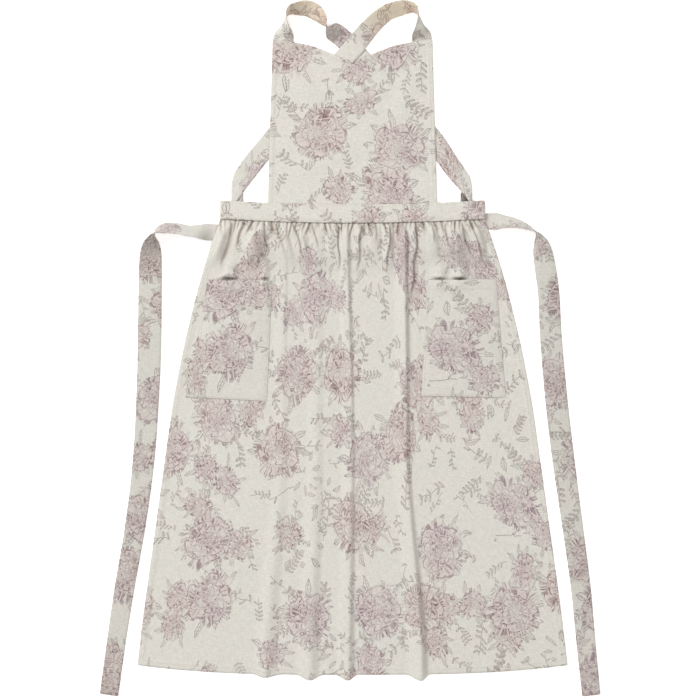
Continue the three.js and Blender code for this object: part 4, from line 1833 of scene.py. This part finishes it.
    def flat(self, over: Array) -> Array:
        """Gives each point's place along and across the flat ribbon.

        Args:
            over: The upper face.

        Returns:
            Places on the flat cloth.
        """
        middle = over.mean(axis=1)
        run = np.concatenate([[0.0], np.cumsum(np.linalg.norm(np.diff(middle, axis=0), axis=1))])
        wide = np.linalg.norm(over[:, -1] - over[:, 0], axis=1)
        across = np.linspace(-0.5, 0.5, over.shape[1])
        flat = np.stack([across[None, :] * wide[:, None], np.broadcast_to(-run[:, None], over.shape[:2])], -1)
        return flat + np.array(self.shift)

    def line(self, u: Share, v: Share) -> Array:
        """Gives a line of stitches on the upper face, however the ribbon is turned."""
        return self.place(*np.broadcast_arrays(u, v))[0]

    def seams(self) -> list[Array]:
        """Lists the topstitching along both edges."""
        run = np.linspace(0.004, 0.996, 4 * len(self.sections().middle))
        return [self.line((1 + side * self.inset) / 2, run) for side in (-1, 1)]

    def cut(self) -> Triple:
        """Gives the ribbon's sewn width, its length and its flat area.

        Returns:
            Width, length and area in metres.
        """
        sections = self.sections()
        length = float(np.linalg.norm(np.diff(sections.middle, axis=0), axis=1).sum()) * MM
        widths = [r.width for r in self.path]
        return max(widths) * MM, length, float(np.mean(widths)) * MM * length


# Paths of the straps and ties, from their sewn ends
STRAP_LEFT = (
    Row(-105.6, 474, 0), Row(-106, 497, 0), Row(-104, 515, -63), Row(-101.4, 532, -90),
    Row(-94.5, 540.4, -111), Row(-84, 542.8, -124), Row(-70, 543.6, -136), Row(-57.5, 539.4, -140),
    Row(-46.5, 528.8, -125), Row(-37.2, 515.5, -88), Row(-28.5, 508.5, -18), Row(-18.5, 502.5, -1),
    Row(-4, 489, 0), Row(40, 439, 0), Row(92, 381, 0), Row(131, 338, 0), Row(148, 314, 0, 0.1, slant=0.35),
    Row(164.6, 290.9, 0, 1.4, 29.5, 0.8), Row(182.1, 268.4, 0, 2.8, 26, 1),
)
STRAP_RIGHT = (
    Row(115.2, 474, 0), Row(114.9, 497, 0), Row(112, 515.2, 61), Row(108.5, 534.4, 90),
    Row(101.6, 543.4, 111), Row(89.6, 545, 126), Row(76.8, 543, 136), Row(62.4, 538.4, 138),
    Row(48, 528.8, 146), Row(34.4, 516, 154, 0.6), Row(21.6, 501.6, 164, 1.8), Row(9.6, 486.4, 177, 2.4),
    Row(-3.5, 472, 180, 2.4), Row(-32, 440.5, 180, 1.2), Row(-60, 409, 180, 0.2), Row(-95, 369, 180),
    Row(-126, 333, 180), Row(-142, 313.5, 180, 0.1, slant=0.35), Row(-157, 294.5, 180, 1.4, slant=0.8),
    Row(-173, 273.5, 180, 2.8, slant=1),
)
TIE_LEFT = (
    Row(-186, 186.6, 0, width=25), Row(-206, 186.6, 0, width=25), Row(-222, 186.8, 3, width=26),
    Row(-240, 187.4, 46, width=33),
    Row(-258, 188.4, 58, width=34), Row(-278, 192.4, 59, width=34), Row(-296, 192.5, 61, width=34),
    Row(-307, 189.2, 73, width=34), Row(-313.4, 181.6, 95, width=34), Row(-316.2, 169, 132, width=34.5),
    Row(-318.4, 148, 164, width=35), Row(-319.5, 108.8, 180, width=36.5), Row(-320.8, 10, 180, width=37),
    Row(-323, -62, 180, width=36), Row(-330, -176, 180, width=34), Row(-343, -280, 180, width=32),
    Row(-361, -384, 180), Row(-374, -470, 180, width=29.6), Row(-385.5, -553, 180, width=29),
)
TIE_RIGHT = (
    Row(200, 204, 0, width=25), Row(213, 204, 0, width=25), Row(226, 204, -3, width=26),
    Row(243, 203.4, -46, width=33), Row(259, 201.6, -57, width=33), Row(275, 197.6, -67, width=33),
    Row(289, 191.4, -77, width=33), Row(298.4, 184.6, -91, width=33), Row(303.4, 172.5, -122, width=33),
    Row(308, 152, -154, width=33.2), Row(312.5, 127, -169, width=33.4), Row(317.5, 91, -180, width=33.5),
    Row(321.5, 17.6, -180, width=34.2), Row(331, -90, -180, width=35), Row(341.5, -178, -180, width=34.6),
    Row(355.5, -280, -180, width=32.4), Row(369, -380, -180), Row(377.5, -470, -180, width=30),
    Row(386, -553.8, -180, width=28.6),
)


# Surroundings


class Lamp(NamedTuple):
    """A soft square lamp: its name, its place and side in metres, its watts and its colour."""

    name: str
    place: Triple
    size: float
    power: float
    tint: Triple


@dataclass
class Studio:
    """The white floor, the lamps, of which the strongest is at the upper left, and the camera above."""

    camera_height: float = 4.0
    view_width: float = 1.12
    view_middle: Pair = (0.0, -0.0016)
    sensor: float = 36.0
    floor_half: float = 6.0
    floor_z: float = -0.0006
    floor_glow: float = 0.42
    floor_shades: tuple[int, int] = (247, 250)
    floor_scale: float = 3.0
    floor_roughness: float = 0.95
    floor_gloss: float = 0.1
    sky: Colour = (1.0, 0.955, 0.9, 1.0)
    sky_strength: float = 0.36
    lamps: tuple[Lamp, ...] = (
        Lamp("key_lamp", (-3.45, 2.4, 3.75), 2.1, 244.0, (0.97, 0.99, 1.0)),
        Lamp("fill_lamp", (3.3, 1.9, 1.7), 2.0, 24.0, (0.97, 0.98, 1.0)),
        Lamp("top_lamp", (0.6, -0.9, 3.6), 3.0, 50.0, (0.98, 0.99, 1.0)),
    )

    def floor(self) -> None:
        """Lays the floor."""
        mesh = bpy.data.meshes.new("floor")
        half = self.floor_half
        corners = [(-half, -half), (half, -half), (half, half), (-half, half)]
        mesh.from_pydata([(x, y, self.floor_z) for x, y in corners], [], [(0, 1, 2, 3)])
        paper, wires, shader = new_material("floor_paper")
        place = wires.add("ShaderNodeTexCoord", {}, {}).outputs["Object"]
        dull, bright = (paint(grey, grey, grey) for grey in self.floor_shades)
        wires.fill(shader, {
            "Base Color": wires.colour(wires.noise(place, self.floor_scale), dull, bright),
            "Roughness": self.floor_roughness,
            "Specular IOR Level": self.floor_gloss,
            "Emission Color": (1.0, 1.0, 1.0, 1.0),
            "Emission Strength": self.floor_glow,
        })
        mesh.materials.append(paper)
        placed("floor", mesh)

    def hang(self, lamp: Lamp) -> None:
        """Hangs one lamp that points at the apron.

        Args:
            lamp: The lamp.
        """
        light = bpy.data.lights.new(lamp.name, "AREA")
        light.size, light.energy, light.color = lamp.size, lamp.power, lamp.tint
        hung = placed(lamp.name, light)
        hung.location = lamp.place
        hung.rotation_euler = (-Vector(lamp.place)).to_track_quat("-Z", "Y").to_euler()

    def build(self) -> None:
        """Sets up the floor, the lamps, the world and the camera."""
        self.floor()
        for lamp in self.lamps:
            self.hang(lamp)
        scene = bpy.context.scene
        world = bpy.data.worlds.new("studio")
        world.use_nodes = True
        sky = world.node_tree.nodes["Background"]
        sky.inputs["Color"].default_value = self.sky
        sky.inputs["Strength"].default_value = self.sky_strength
        scene.world = world
        scene.view_settings.view_transform = "Standard"
        view = bpy.data.cameras.new("camera")
        view.sensor_width = self.sensor
        view.lens = self.sensor * self.camera_height / self.view_width
        scene.camera = placed("camera", view)
        scene.camera.location = (*self.view_middle, self.camera_height)


def corners(box: Sequence[Vector]) -> list[list[float]]:
    """Turns a box into plain lists of numbers."""
    return [[float(n) for n in corner] for corner in box]


def main() -> None:
    """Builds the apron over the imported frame, piece by piece, and its surroundings."""
    logging.basicConfig(level=logging.INFO, format="%(name)s: %(message)s")
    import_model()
    Studio().build()
    floral = FloralPrint().group()
    cloths = {slot: PrintedCloth(slot.value).material(floral) for slot in Slot}
    thread = SewingThread().material()
    band = Waistband("waistband", Slot.BAND, Held.LAID, 230, 15, (40.0, 310.0), ("bib", "skirt"))
    straps = ("shoulder_strap_left", "shoulder_strap_right")
    bib = Bib("bib", Slot.BODY, Held.LAID, 150, 150, (330.0, 870.0), straps, band=band)
    skirt = Skirt("skirt", Slot.BODY, Held.GATHERED, 364, 132, (0.0, 0.0), band=band)
    pockets = [
        PatchPocket(
            "pocket_left", Slot.BODY, Held.LAID, 72, 84, (-60.0, -620.0), ("skirt",), (), skirt,
            ((-227.7, 111), (-124.8, 109.5), (-256.5, -77), (-133, -83.5)),
            ((0.32, 0.12, 3.6), (0.9, 0.06, 3.0)),
        ),
        PatchPocket(
            "pocket_right", Slot.BODY, Held.LAID, 72, 84, (137.0, -475.0), ("skirt",), (), skirt,
            ((125.1, 111), (233.6, 111), (114.4, -75), (249.1, -78)),
            ((0.17, 0.11, 3.4), (0.46, 0.11, 3.4)),
        ),
    ]
    folded, laid = (Slot.STRAP, Held.FOLDED, 13, 0), (Slot.STRAP, Held.LAID, 13, 0)
    ribbons = [
        Ribbon(straps[0], *folded, (60.0, 1500.0), path=STRAP_LEFT, fold=FoldedEnd(195.7, 1)),
        Ribbon(straps[1], *folded, (190.0, 1610.0), path=STRAP_RIGHT, fold=FoldedEnd(-190, -1)),
        Ribbon("tie_left", *laid, (-250.0, 60.0), with_nodes=("tie_left_tail",), path=TIE_LEFT),
        Ribbon("tie_right", *laid, (430.0, 1830.0), with_nodes=("tie_right_tail",), path=TIE_RIGHT),
    ]
    for piece in (bib, band, skirt, *pockets, *ribbons):
        piece.build(cloths[piece.slot], thread)


if __name__ == "__main__":
    main()
